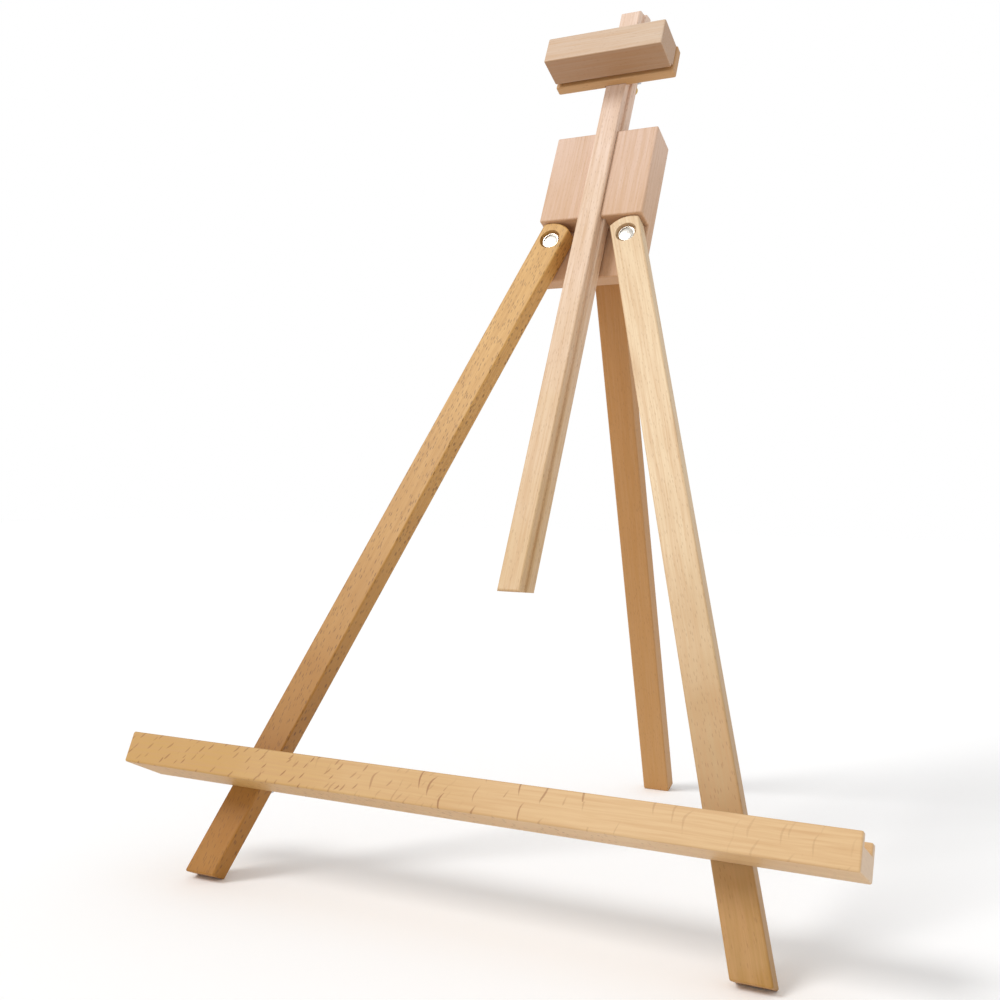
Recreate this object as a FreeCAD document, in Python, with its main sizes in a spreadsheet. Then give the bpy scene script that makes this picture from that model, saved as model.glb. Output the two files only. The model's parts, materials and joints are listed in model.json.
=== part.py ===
import FreeCAD, Part

# Tabletop A-frame easel in beech, standing open and ready for use.
#
# The front of the easel is one leaning plane.  Everything but the floor is laid out in that plane's own
# frame, the "panel frame":
#
#     x   to the right, zero on the middle of the mast
#     y   backwards through the easel, zero on the front face of the head block
#     z   up the mast, zero a little below the pivots of the front legs
#
# leaning_frame() turns the panel frame back by the lean angle and lifts it so that the feet stand on z = 0.

import math
import os

import Sketcher
from FreeCAD import Placement, Rotation, Vector

# alias: (value in millimetres or degrees, what it is)
DRIVING_SIZES = {
    "lean_angle": (25.0, "how far the front plane leans back from vertical, degrees"),
    "prop_angle": (41.9, "opening of the back leg from the front plane, degrees"),
    "splay_angle": (17.4, "each front leg from the mast, degrees"),
    "edge_ease": (1.2, "rounding of the sanded wooden edges"),
    "slide_gap": (0.3, "clearance between sliding wooden faces"),
    "pivot_gap": (0.06, "radial clearance of a turning pin or screw"),
    "seat_gap": (0.02, "radial clearance of a part seated in its hole"),
    # head block
    "head_wide": (75.0, "head block, side to side"),
    "head_top": (87.0, "top of the head block above the frame's origin"),
    "head_step": (14.7, "underside of the head block's thick upper half"),
    "plate_drop": (24.7, "lower edge of the back plate below the origin"),
    "slot_wall": (11.7, "wood between the mast's slot and the head block's back"),
    # mast
    "rib_wide": (15.2, "width of the mast's front rib"),
    "rib_proud": (3.0, "how far the rib stands in front of the head block"),
    "rib_deep": (7.0, "depth of the rib in front of the flange"),
    "flange_wide": (19.2, "width of the mast's flange"),
    "flange_deep": (9.0, "depth of the flange"),
    "mast_top": (195.4, "front top edge of the mast"),
    "mast_foot": (257.5, "front bottom edge of the mast below the origin"),
    "mast_bevel": (19.0, "angle of both mast ends, degrees"),
    # front legs
    "leg_wide": (20.5, "width of every leg"),
    "leg_thick": (12.5, "thickness of every leg"),
    "leg_recess": (2.0, "front legs behind the front face of the head block"),
    "leg_reach": (467.0, "front leg, pivot to the middle of the foot"),
    "leg_head": (13.2, "front leg above its pivot"),
    "leg_crown": (18.0, "radius of the front leg's rounded top"),
    "pivot_washer": (0.5, "thin washer between a front leg and the head block's back plate"),
    "pivot_half": (27.7, "each pivot from the middle"),
    "pivot_rise": (1.0, "pivots above the origin"),
    "counterbore": (14.5, "diameter of the recess for the pivot head"),
    "counterbore_deep": (3.6, "depth of that recess"),
    # pivot hardware
    "post_head": (11.5, "diameter of the heads on both ends of the pivot"),
    "post_head_thick": (1.8, "thickness of those heads"),
    "post_barrel": (6.0, "outside diameter of the pivot post's barrel"),
    "post_thread": (4.0, "diameter of the screw in the barrel"),
    # ledge
    "ledge_long": (436.0, "canvas ledge, end to end"),
    "ledge_deep": (35.4, "canvas ledge, front to back"),
    "ledge_tall": (18.6, "canvas ledge, height"),
    "ledge_drop": (391.0, "bottom of the ledge below the origin"),
    "groove_deep": (6.0, "depth of the groove for the canvas"),
    "lip_thick": (4.6, "front lip of the ledge"),
    "ledge_back": (5.8, "rear wall of the ledge"),
    "insert_rise": (6.3, "threaded inserts above the bottom of the ledge"),
    # fastenings of the ledge and of the mast
    "wing_thread": (6.0, "diameter of the wing screws' thread"),
    "insert_wide": (9.0, "outside diameter of the threaded inserts"),
    "insert_long": (10.0, "length of the ledge's threaded inserts"),
    "insert_cover": (1.7, "wood left in front of the mast lock's insert"),
    "wing_hub": (11.0, "diameter of the wing screw's hub"),
    "wing_hub_long": (8.0, "length of the wing screw's hub"),
    "wing_span": (28.0, "across both wings"),
    "wing_thick": (3.0, "thickness of a wing"),
    "washer_wide": (15.0, "diameter of the washers under the wing screws"),
    "washer_thick": (1.2, "thickness of those washers"),
    "lock_rise": (60.0, "mast lock screw above the origin"),
    "tip_gap": (0.3, "tip of a lock screw before it is tightened"),
    # hinge of the back leg
    "hinge_rise": (12.1, "hinge pin above the origin"),
    "knuckle": (6.0, "hinge knuckle, across, with its clearance to the wood"),
    "leaf_thick": (1.5, "thickness of the hinge leaves"),
    "leaf_wide": (18.0, "width of the hinge leaves"),
    "leaf_long": (26.0, "length of each leaf from the pin"),
    "knuckle_mid": (6.0, "width of the middle knuckle"),
    "hinge_pin": (2.5, "diameter of the hinge pin"),
    "hinge_gap": (0.05, "clearance round the knuckles"),
    "wood_screw": (2.8, "shank diameter of the small wood screws"),
    "wood_screw_head": (5.6, "head diameter of the small wood screws"),
    "wood_screw_long": (9.0, "length of the hinge screws"),
    # canvas clamp
    "clamp_wide": (87.2, "front block of the clamp, side to side"),
    "clamp_front": (34.1, "front face of the clamp before the head block's face"),
    "clamp_top": (148.8, "top of the clamp's front block above the origin"),
    "clamp_tall": (21.3, "height of the clamp's front block"),
    "clamp_plate": (7.2, "thickness of the clamp's back plate"),
    "clamp_plate_back": (1.0, "back of that plate before the head block's face"),
    "clamp_plate_over": (0.7, "back plate larger than the block, all round"),
    "kerf_tall": (3.6, "height of the rebate behind the clamp's lower face"),
    "kerf_deep": (2.6, "depth of that rebate"),
    "clamp_screw_half": (30.0, "each clamp screw from the middle"),
    "clamp_screw_long": (22.0, "length of the clamp screws"),
    "stirrup_tall": (8.0, "height of the steel stirrup round the mast"),
    "stirrup_thick": (1.2, "thickness of the stirrup"),
    "stirrup_ear": (8.0, "width of each ear of the stirrup"),
    "small_thread": (4.0, "diameter of the clamp's lock screw"),
    "small_nut": (7.0, "diameter of the nut on the stirrup"),
    "small_nut_long": (3.5, "length of that nut"),
    "small_head": (9.0, "diameter of the clamp's knurled lock screw"),
    "small_head_long": (6.0, "length of its head"),
}


class Size:
    """A length or angle that carries both its value and the sheet expression that gives it."""

    def __init__(self, value, text):
        self.value = float(value)
        self.text = text

    @staticmethod
    def of(other):
        """Return other as a Size, whether it is one already or a plain number."""
        return other if isinstance(other, Size) else Size(other, repr(float(other)))

    def __add__(self, other):
        other = Size.of(other)
        return Size(self.value + other.value, f"({self.text} + {other.text})")

    def __sub__(self, other):
        other = Size.of(other)
        return Size(self.value - other.value, f"({self.text} - {other.text})")

    def __mul__(self, other):
        other = Size.of(other)
        return Size(self.value * other.value, f"({self.text} * {other.text})")

    def __truediv__(self, other):
        other = Size.of(other)
        return Size(self.value / other.value, f"({self.text} / {other.text})")

    def __radd__(self, other):
        return Size.of(other) + self

    def __rsub__(self, other):
        return Size.of(other) - self

    def __neg__(self):
        return Size(-self.value, f"(-{self.text})")

    def tan(self):
        """Tangent of an angle in degrees."""
        return Size(math.tan(math.radians(self.value)), f"tan({self.text} * 1 deg)")

    def cos(self):
        """Cosine of an angle in degrees."""
        return Size(math.cos(math.radians(self.value)), f"cos({self.text} * 1 deg)")


doc = FreeCAD.newDocument("TableEasel")
sheet = doc.addObject("Spreadsheet::Sheet", "Sizes")
for row, (alias, (amount, meaning)) in enumerate(DRIVING_SIZES.items(), start=1):
    sheet.set(f"A{row}", alias)
    sheet.set(f"B{row}", str(amount))
    sheet.set(f"C{row}", meaning)
    sheet.setAlias(f"B{row}", alias)
doc.recompute()

S = {alias: Size(sheet.get(alias), f"Sizes.{alias}") for alias in DRIVING_SIZES}

# places that several pieces share, in the panel frame
MAST_FRONT = -S["rib_proud"]
FLANGE_FRONT = MAST_FRONT + S["rib_deep"]
MAST_BACK = FLANGE_FRONT + S["flange_deep"]
LEG_FRONT = S["leg_recess"]
LEG_BACK = LEG_FRONT + S["leg_thick"]
HEAD_STEP_BACK = LEG_BACK + S["pivot_washer"]
HEAD_BACK = MAST_BACK + S["slide_gap"] + S["slot_wall"]
LEDGE_BACK = LEG_FRONT
LEDGE_FRONT = LEDGE_BACK - S["ledge_deep"]
LEDGE_BOTTOM = -S["ledge_drop"]
LEDGE_TOP = LEDGE_BOTTOM + S["ledge_tall"]
GROOVE_FLOOR = LEDGE_TOP - S["groove_deep"]
INSERT_HEIGHT = LEDGE_BOTTOM + S["insert_rise"]
INSERT_HALF = S["pivot_half"] + (S["pivot_rise"] - INSERT_HEIGHT) * S["splay_angle"].tan()
KNUCKLE_RADIUS = S["knuckle"] / 2
PIN_DEPTH = HEAD_BACK + KNUCKLE_RADIUS
CLAMP_FRONT = -S["clamp_front"]
CLAMP_BACK = -S["clamp_plate_back"]
CLAMP_JOINT = CLAMP_BACK - S["clamp_plate"]
CLAMP_BOTTOM = S["clamp_top"] - S["clamp_tall"]
PLATE_TOP = S["clamp_top"] + S["clamp_plate_over"]
STIRRUP_HEIGHT = PLATE_TOP - S["stirrup_tall"] / 2
STIRRUP_BACK = MAST_BACK + S["slide_gap"] + S["stirrup_thick"]
STIRRUP_HALF = S["flange_wide"] / 2 + S["slide_gap"] + S["stirrup_thick"]

TURN_TO_Y = Rotation(Vector(1, 0, 0), -90)
TURN_TO_MINUS_Y = Rotation(Vector(1, 0, 0), 90)
TURN_TO_X = Rotation(Vector(0, 1, 0), 90)
HIDDEN_EXTRA = 5.0  # how far a cutting tool runs past the wood that it cuts
INSERT_RELIEF = 4           # free depth in front of each insert of the ledge, for the screw's tip
POST_SHORT = 0.4            # pivot post ends this far inside the back of the head block
POST_CLOSED_END = 6         # solid front end of the pivot post's barrel
DRIVER_SLOT = 1.2           # width of the slot for a screwdriver
CROWN_RISE = 1.5            # height and slope of the cone on a wing screw's hub
WASHER_PLAY = 0.4           # washer's hole larger than the wing screw's thread
HUB_LIFT = 0.1              # gap between a wing screw's hub and its washer

nodes = {}


# ---------------------------------------------------------------- frames

def eased_lift(tilt):
    """How much nearer to the wood an eased edge meets the table than the sharp edge would."""
    return S["edge_ease"].value * (math.sin(tilt) + math.cos(tilt) - 1)


def panel_height():
    """Height of the panel frame's origin above the table, from the front feet's rear lower edges."""
    lean = math.radians(S["lean_angle"].value)
    splay = math.radians(S["splay_angle"].value)
    foot_drop = S["leg_reach"].value * math.cos(splay) - S["pivot_rise"].value
    return LEG_BACK.value * math.sin(lean) + foot_drop * math.cos(lean) - eased_lift(lean)


def back_leg_reach():
    """Length from the hinge pin to the back foot that puts the foot's front edge on the table."""
    lean = math.radians(S["lean_angle"].value)
    tilt = math.radians(S["prop_angle"].value - S["lean_angle"].value)
    pin_height = panel_height() - PIN_DEPTH.value * math.sin(lean) + S["hinge_rise"].value * math.cos(lean)
    foot_edge = KNUCKLE_RADIUS.value * math.sin(tilt) + eased_lift(tilt)
    return (pin_height + foot_edge) / math.cos(tilt)


def back_leg_top():
    """Length above the hinge pin at which the open back leg comes to rest against the hinge leaf."""
    opening = math.radians(S["prop_angle"].value)
    leaf_and_gap = S["leaf_thick"].value + S["slide_gap"].value / 2
    reach = KNUCKLE_RADIUS.value * (1 + math.cos(opening)) - leaf_and_gap
    return reach / math.sin(opening)


def footprint_middle():
    """Depth of the middle of the easel's footprint, before the panel frame is centred on it."""
    lean = math.radians(S["lean_angle"].value)
    tilt = math.radians(S["prop_angle"].value - S["lean_angle"].value)
    ledge_edge = LEDGE_FRONT.value * math.cos(lean) + LEDGE_BOTTOM.value * math.sin(lean)
    pin = PIN_DEPTH.value * math.cos(lean) + S["hinge_rise"].value * math.sin(lean)
    foot_back = KNUCKLE_RADIUS.value + S["leg_thick"].value
    foot_edge = pin + back_leg_reach() * math.sin(tilt) + foot_back * math.cos(tilt)
    return (ledge_edge + foot_edge) / 2


def leaning_frame():
    """Placement of the panel frame in the row's frame."""
    base = Vector(0, -footprint_middle(), panel_height())
    return Placement(base, Rotation(Vector(1, 0, 0), -S["lean_angle"].value))


PANEL = leaning_frame()


def leg_frame(side):
    """Placement of a front leg's own frame: pivot at the origin, z along the leg, y backwards."""
    base = Vector(side * S["pivot_half"].value, LEG_FRONT.value, S["pivot_rise"].value)
    return PANEL.multiply(Placement(base, Rotation(Vector(0, 1, 0), -side * S["splay_angle"].value)))


def prop_frame():
    """Placement of the back leg's own frame: hinge pin at the origin, z along the leg, y backwards."""
    base = Vector(0, PIN_DEPTH.value, S["hinge_rise"].value)
    return PANEL.multiply(Placement(base, Rotation(Vector(1, 0, 0), S["prop_angle"].value)))


# ---------------------------------------------------------------- building helpers

def bind(item, name, size):
    """Give a property its value and tie it to the sheet."""
    size = Size.of(size)
    item.setExpression(name, size.text)


def move_to(item, x, y, z):
    """Tie the position of a primitive to the sheet."""
    for axis, size in zip("xyz", (x, y, z)):
        bind(item, f"Placement.Base.{axis}", size)


def box(name, x, y, z):
    """A box between pairs of limits."""
    item = doc.addObject("Part::Box", name)
    for prop, (low, high) in zip(("Length", "Width", "Height"), (x, y, z)):
        bind(item, prop, Size.of(high) - Size.of(low))
    move_to(item, x[0], y[0], z[0])
    return item


def rod(name, diameter, start, length, turn=TURN_TO_Y):
    """A cylinder that starts at a point and runs along the turned axis."""
    item = doc.addObject("Part::Cylinder", name)
    item.Placement = Placement(Vector(), turn)
    bind(item, "Radius", Size.of(diameter) / 2)
    bind(item, "Height", length)
    move_to(item, *start)
    return item


def taper(name, first, last, start, length, turn=TURN_TO_Y):
    """A cone between two diameters that starts at a point and runs along the turned axis."""
    item = doc.addObject("Part::Cone", name)
    item.Placement = Placement(Vector(), turn)
    bind(item, "Radius1", Size.of(first) / 2)
    bind(item, "Radius2", Size.of(last) / 2)
    bind(item, "Height", length)
    move_to(item, *start)
    return item


def fused(name, pieces):
    """One solid from several."""
    item = doc.addObject("Part::MultiFuse", name)
    item.Shapes = pieces
    item.Refine = True
    return item


def cut(name, base, tools):
    """A solid with others taken out of it."""
    item = doc.addObject("Part::Cut", name)
    item.Base = base
    item.Tool = tools[0] if len(tools) == 1 else fused(f"{name}_tools", tools)
    return item


def group(name, pieces):
    """Several separate solids of one kind, kept in one node."""
    item = doc.addObject("Part::Compound", name)
    item.Links = pieces
    return item


def node(name, item, frame=PANEL):
    """Name a finished sub-part and put it in its place."""
    item.Label = name
    item.Placement = frame.multiply(item.Placement)
    nodes[name] = item
    return item


def sketch_on(body, name, role):
    """A sketch on one of the body's own origin planes."""
    plane = next(f for f in body.Origin.OriginFeatures if f.Role == role)
    sketch = body.newObject("Sketcher::SketchObject", name)
    sketch.AttachmentSupport = [(plane, "")]
    sketch.MapMode = "FlatFace"
    return sketch


def fix_point(sketch, edge, end, x, y):
    """Tie one end of a sketch edge to a place that the sheet gives."""
    for kind, size in (("DistanceX", Size.of(x)), ("DistanceY", Size.of(y))):
        index = sketch.addConstraint(Sketcher.Constraint(kind, -1, 1, edge, end, size.value))
        sketch.setExpression(f"Constraints[{index}]", size.text)


def draw_outline(sketch, corners):
    """Draw a closed outline through corners whose places the sheet gives."""
    count = len(corners)
    ends = [Vector(Size.of(x).value, Size.of(y).value, 0) for x, y in corners]
    for i in range(count):
        sketch.addGeometry(Part.LineSegment(ends[i], ends[(i + 1) % count]), False)
    for i in range(count):
        sketch.addConstraint(Sketcher.Constraint("Coincident", i, 2, (i + 1) % count, 1))
    for i, (x, y) in enumerate(corners):
        fix_point(sketch, i, 1, x, y)


def pad(body, name, sketch, length, side="Symmetric", backwards=False):
    """Pad a sketch to a length from the sheet."""
    feature = body.newObject("PartDesign::Pad", name)
    feature.Profile = sketch
    feature.SideType = side
    feature.Reversed = backwards
    bind(feature, "Length", length)
    doc.recompute()
    return feature


def ease_edges(body, name, feature, radius, keep_sharp=()):
    """Round every edge of a feature but those that run through a point (y, z) to be kept sharp."""

    def is_sharp(edge):
        middle = edge.CenterOfMass
        return any(abs(middle.y - y.value) < 0.01 and abs(middle.z - z.value) < 0.01 for y, z in keep_sharp)

    names = [f"Edge{i}" for i, edge in enumerate(feature.Shape.Edges, start=1) if not is_sharp(edge)]
    fillet = body.newObject("PartDesign::Fillet", name)
    fillet.Base = (feature, names)
    bind(fillet, "Radius", radius)
    doc.recompute()
    return fillet


def board(name, role, corners, length, keep_sharp=(), side="Symmetric", backwards=False):
    """A sanded wooden piece of one section, with eased edges."""
    body = doc.addObject("PartDesign::Body", f"{name}_wood")
    sketch = sketch_on(body, f"{name}_section", role)
    draw_outline(sketch, corners)
    blank = pad(body, f"{name}_blank", sketch, length, side, backwards)
    ease_edges(body, f"{name}_ease", blank, S["edge_ease"], keep_sharp)
    return body


def wood_screw(name, head_at, length, turn):
    """A countersunk wood screw whose flat head lies at a point and which runs along the turned axis."""
    head = taper(f"{name}_head", S["wood_screw_head"], S["wood_screw"], head_at, S["leaf_thick"], turn)
    shank = rod(f"{name}_shank", S["wood_screw"], head_at, length, turn)
    return fused(name, [head, shank])


# ---------------------------------------------------------------- wooden parts

def make_head_block():
    """Block with a T-slot for the mast in front and a thin plate behind the legs."""
    step = (HEAD_STEP_BACK, S["head_step"])
    profile = [
        (0, S["head_step"]),
        (0, S["head_top"]),
        (HEAD_BACK, S["head_top"]),
        (HEAD_BACK, -S["plate_drop"]),
        (HEAD_STEP_BACK, -S["plate_drop"]),
        step,
    ]
    wood = board("head_block", "YZ_Plane", profile, S["head_wide"], keep_sharp=[step])
    gap = S["slide_gap"]
    rib_half = S["rib_wide"] / 2 + gap
    flange_half = S["flange_wide"] / 2 + gap
    height = (S["head_step"] - HIDDEN_EXTRA, S["head_top"] + HIDDEN_EXTRA)
    tools = [
        box("slot_mouth", (-rib_half, rib_half), (-HIDDEN_EXTRA, FLANGE_FRONT), height),
        box("slot_back", (-flange_half, flange_half), (FLANGE_FRONT - gap, MAST_BACK + gap), height),
        rod("lock_hole", S["wing_thread"] + 0.6, (0, FLANGE_FRONT, S["lock_rise"]), HEAD_BACK),
        rod("lock_seat", S["insert_wide"] + S["seat_gap"] * 2,
            (0, HEAD_BACK, S["lock_rise"]), S["slot_wall"] - S["insert_cover"], TURN_TO_MINUS_Y),
    ]
    for side in (-1, 1):
        tools.append(rod("pivot_hole", S["post_barrel"] + S["seat_gap"] * 2,
                         (S["pivot_half"] * side, HEAD_STEP_BACK - HIDDEN_EXTRA, S["pivot_rise"]),
                         HEAD_BACK))
    for x, z in leaf_screw_places():
        tools.append(rod("hinge_pilot", S["wood_screw"] + S["seat_gap"] * 2,
                         (x, HEAD_BACK + HIDDEN_EXTRA, S["hinge_rise"] + z),
                         S["wood_screw_long"] + HIDDEN_EXTRA, TURN_TO_MINUS_Y))
    node("head_block", cut("head_block", wood, tools))


def make_mast():
    """T-section mast: a rib in front, a wider flange behind, both ends bevelled alike."""
    rib_half = S["rib_wide"] / 2
    flange_half = S["flange_wide"] / 2
    section = [
        (-rib_half, MAST_FRONT),
        (rib_half, MAST_FRONT),
        (rib_half, FLANGE_FRONT),
        (flange_half, FLANGE_FRONT),
        (flange_half, MAST_BACK),
        (-flange_half, MAST_BACK),
        (-flange_half, FLANGE_FRONT),
        (-rib_half, FLANGE_FRONT),
    ]
    body = doc.addObject("PartDesign::Body", "mast_wood")
    sketch = sketch_on(body, "mast_section", "XY_Plane")
    draw_outline(sketch, section)
    blank = body.newObject("PartDesign::Pad", "mast_blank")
    blank.Profile = sketch
    blank.SideType = "Two sides"
    rise = (MAST_BACK - MAST_FRONT) * S["mast_bevel"].tan()
    bind(blank, "Length", S["mast_top"] + rise)
    bind(blank, "Length2", S["mast_foot"])
    bevelled = bevel_ends(body, rise)
    names = [f"Edge{i}" for i, edge in enumerate(bevelled.Shape.Edges, start=1) if is_outer_edge(edge)]
    fillet = body.newObject("PartDesign::Fillet", "mast_ease")
    fillet.Base = (bevelled, names)
    bind(fillet, "Radius", S["edge_ease"])
    node("mast", body)


def is_outer_edge(edge):
    """Whether an edge of the mast is a long outer corner or runs across its front or back at an end."""
    middle = edge.CenterOfMass
    if edge.Length > S["head_top"].value:
        return abs(abs(middle.x) - S["rib_wide"].value / 2) > 0.01 or middle.y < FLANGE_FRONT.value - 0.01
    return abs(middle.y - MAST_FRONT.value) < 0.01 or abs(middle.y - MAST_BACK.value) < 0.01


def bevel_ends(body, rise):
    """Cut both ends of the mast so that they slope up towards the back, and return the cut."""
    sketch = sketch_on(body, "mast_bevels", "YZ_Plane")
    front = MAST_FRONT - HIDDEN_EXTRA
    back = MAST_BACK + HIDDEN_EXTRA
    slope = S["mast_bevel"].tan()
    low = S["mast_top"] - slope * HIDDEN_EXTRA
    high = S["mast_top"] + rise + slope * HIDDEN_EXTRA
    top = [(front, low), (back, high), (back, high + HIDDEN_EXTRA), (front, high + HIDDEN_EXTRA)]
    low = -S["mast_foot"] - slope * HIDDEN_EXTRA
    high = -S["mast_foot"] + rise + slope * HIDDEN_EXTRA
    foot = [(front, low), (front, low - HIDDEN_EXTRA), (back, low - HIDDEN_EXTRA), (back, high)]
    for corners in (top, foot):
        first = sketch.GeometryCount
        ends = [Vector(x.value, y.value, 0) for x, y in corners]
        for i in range(4):
            sketch.addGeometry(Part.LineSegment(ends[i], ends[(i + 1) % 4]), False)
        for i in range(4):
            sketch.addConstraint(Sketcher.Constraint("Coincident", first + i, 2, first + (i + 1) % 4, 1))
            fix_point(sketch, first + i, 1, *corners[i])
    pocket = body.newObject("PartDesign::Pocket", "mast_end_cuts")
    pocket.Profile = sketch
    pocket.SideType = "Symmetric"
    bind(pocket, "Length", S["flange_wide"] * 3)
    doc.recompute()
    return pocket


def make_front_leg(side, name):
    """Front leg with a low rounded top, a recessed pivot and a foot cut level across the easel."""
    half = S["leg_wide"] / 2
    slant = half * S["splay_angle"].tan() * side
    crown = S["leg_crown"]
    centre = S["leg_head"] - crown
    shoulder = centre.value + math.sqrt(crown.value ** 2 - half.value ** 2)
    body = doc.addObject("PartDesign::Body", f"{name}_wood")
    sketch = sketch_on(body, f"{name}_face", "XZ_Plane")
    feet = [(-half, -S["leg_reach"] + slant), (half, -S["leg_reach"] - slant)]
    ends = [Vector(x.value, z.value, 0) for x, z in feet]
    tops = [Vector(half.value, shoulder, 0), Vector(-half.value, shoulder, 0)]
    sketch.addGeometry(Part.LineSegment(ends[0], ends[1]), False)
    sketch.addGeometry(Part.LineSegment(ends[1], tops[0]), False)
    arc = Part.Arc(tops[0], Vector(0, S["leg_head"].value, 0), tops[1])
    sketch.addGeometry(arc, False)
    sketch.addGeometry(Part.LineSegment(tops[1], ends[0]), False)
    for i in range(4):
        sketch.addConstraint(Sketcher.Constraint("Coincident", i, 2, (i + 1) % 4, 1))
    for i, (x, z) in enumerate(feet):
        fix_point(sketch, i, 1, x, z)
    sketch.addConstraint(Sketcher.Constraint("Vertical", 1))
    sketch.addConstraint(Sketcher.Constraint("Vertical", 3))
    fix_point(sketch, 2, 3, 0, centre)
    index = sketch.addConstraint(Sketcher.Constraint("Radius", 2, crown.value))
    sketch.setExpression(f"Constraints[{index}]", crown.text)
    blank = pad(body, f"{name}_blank", sketch, S["leg_thick"], "One side", backwards=True)
    ease_edges(body, f"{name}_ease", blank, S["edge_ease"])
    along = -(S["pivot_rise"] - INSERT_HEIGHT) / S["splay_angle"].cos()
    through = S["leg_thick"] + HIDDEN_EXTRA * 2
    tools = [
        rod("pivot_bore", S["post_barrel"] + S["pivot_gap"] * 2, (0, -HIDDEN_EXTRA, 0), through),
        rod("pivot_recess", S["counterbore"], (0, -HIDDEN_EXTRA, 0), S["counterbore_deep"] + HIDDEN_EXTRA),
        rod("ledge_bore", S["wing_thread"] + S["pivot_gap"] * 2, (0, -HIDDEN_EXTRA, along), through),
    ]
    node(name, cut(name, body, tools), leg_frame(side))


def make_back_leg():
    """Prop at the back, square at both ends; its top comes to rest against the hinge when it is open."""
    half = S["leg_wide"] / 2
    length = (-back_leg_reach(), back_leg_top())
    profile = [(-half, length[0]), (half, length[0]), (half, length[1]), (-half, length[1])]
    body = board("back_leg", "XZ_Plane", profile, S["leg_thick"], side="One side", backwards=True)
    body.Placement = Placement(Vector(0, KNUCKLE_RADIUS.value, 0), Rotation())
    tools = [
        rod("leg_pilot", S["wood_screw"] + S["seat_gap"] * 2, (x, 0, -z),
            KNUCKLE_RADIUS + S["wood_screw_long"] - S["leaf_thick"])
        for x, z in leaf_screw_places()
    ]
    node("back_leg", cut("back_leg", body, tools), prop_frame())


def make_ledge():
    """Canvas ledge: a channel with a front lip, a rear wall and a groove between them."""
    inner = [(LEDGE_BACK - S["ledge_back"], GROOVE_FLOOR), (LEDGE_FRONT + S["lip_thick"], GROOVE_FLOOR)]
    profile = [
        (LEDGE_BACK, LEDGE_BOTTOM),
        (LEDGE_BACK, LEDGE_TOP),
        (inner[0][0], LEDGE_TOP),
        inner[0],
        inner[1],
        (inner[1][0], LEDGE_TOP),
        (LEDGE_FRONT, LEDGE_TOP),
        (LEDGE_FRONT, LEDGE_BOTTOM),
    ]
    wood = board("ledge", "YZ_Plane", profile, S["ledge_long"], keep_sharp=inner)
    depth = S["insert_long"] + INSERT_RELIEF + HIDDEN_EXTRA
    tools = []
    for side in (-1, 1):
        mouth = (INSERT_HALF * side, LEDGE_BACK + HIDDEN_EXTRA, INSERT_HEIGHT)
        tools.append(rod("insert_hole", S["insert_wide"] + S["seat_gap"] * 2, mouth, depth, TURN_TO_MINUS_Y))
    node("ledge", cut("ledge", wood, tools))


def make_clamp_wood():
    """The canvas clamp: a deep front block and a thin back plate that runs on the mast's rib."""
    kerf = (CLAMP_JOINT - S["kerf_deep"], CLAMP_BOTTOM + S["kerf_tall"])
    profile = [
        (CLAMP_FRONT, CLAMP_BOTTOM),
        (CLAMP_FRONT, S["clamp_top"]),
        (CLAMP_JOINT, S["clamp_top"]),
        (CLAMP_JOINT, kerf[1]),
        kerf,
        (kerf[0], CLAMP_BOTTOM),
    ]
    block = board("clamp_block", "YZ_Plane", profile, S["clamp_wide"], keep_sharp=[kerf])
    height = CLAMP_BOTTOM + S["clamp_tall"] / 2
    screw_hole = S["wood_screw"] + S["seat_gap"] * 2
    tools = [
        rod("clamp_pilot", screw_hole, (S["clamp_screw_half"] * side, CLAMP_BACK, height),
            S["clamp_screw_long"], TURN_TO_MINUS_Y)
        for side in (-1, 1)
    ]
    node("clamp_block", cut("clamp_block", block, tools))

    over = S["clamp_plate_over"]
    profile = [
        (CLAMP_JOINT, CLAMP_BOTTOM - over),
        (CLAMP_JOINT, PLATE_TOP),
        (CLAMP_BACK, PLATE_TOP),
        (CLAMP_BACK, CLAMP_BOTTOM - over),
    ]
    plate = board("clamp_plate", "YZ_Plane", profile, S["clamp_wide"] + over * 2)
    rib_half = S["rib_wide"] / 2 + S["slide_gap"]
    tools = [box("rib_notch", (-rib_half, rib_half),
                 (MAST_FRONT - S["slide_gap"], CLAMP_BACK + HIDDEN_EXTRA),
                 (CLAMP_BOTTOM - HIDDEN_EXTRA, PLATE_TOP + HIDDEN_EXTRA))]
    for side in (-1, 1):
        place = (S["clamp_screw_half"] * side, CLAMP_BACK, height)
        tools.append(rod("plate_screw_hole", screw_hole, place, S["clamp_plate"] + HIDDEN_EXTRA,
                         TURN_TO_MINUS_Y))
        tools.append(taper("plate_sink", S["wood_screw_head"] + S["seat_gap"] * 2, screw_hole, place,
                           S["leaf_thick"], TURN_TO_MINUS_Y))
        place = (stirrup_screw_half() * side, CLAMP_BACK, STIRRUP_HEIGHT)
        tools.append(rod("stirrup_pilot", screw_hole, place, ear_screw_long(), TURN_TO_MINUS_Y))
    node("clamp_plate", cut("clamp_plate", plate, tools))


# ---------------------------------------------------------------- pivots of the front legs

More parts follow.
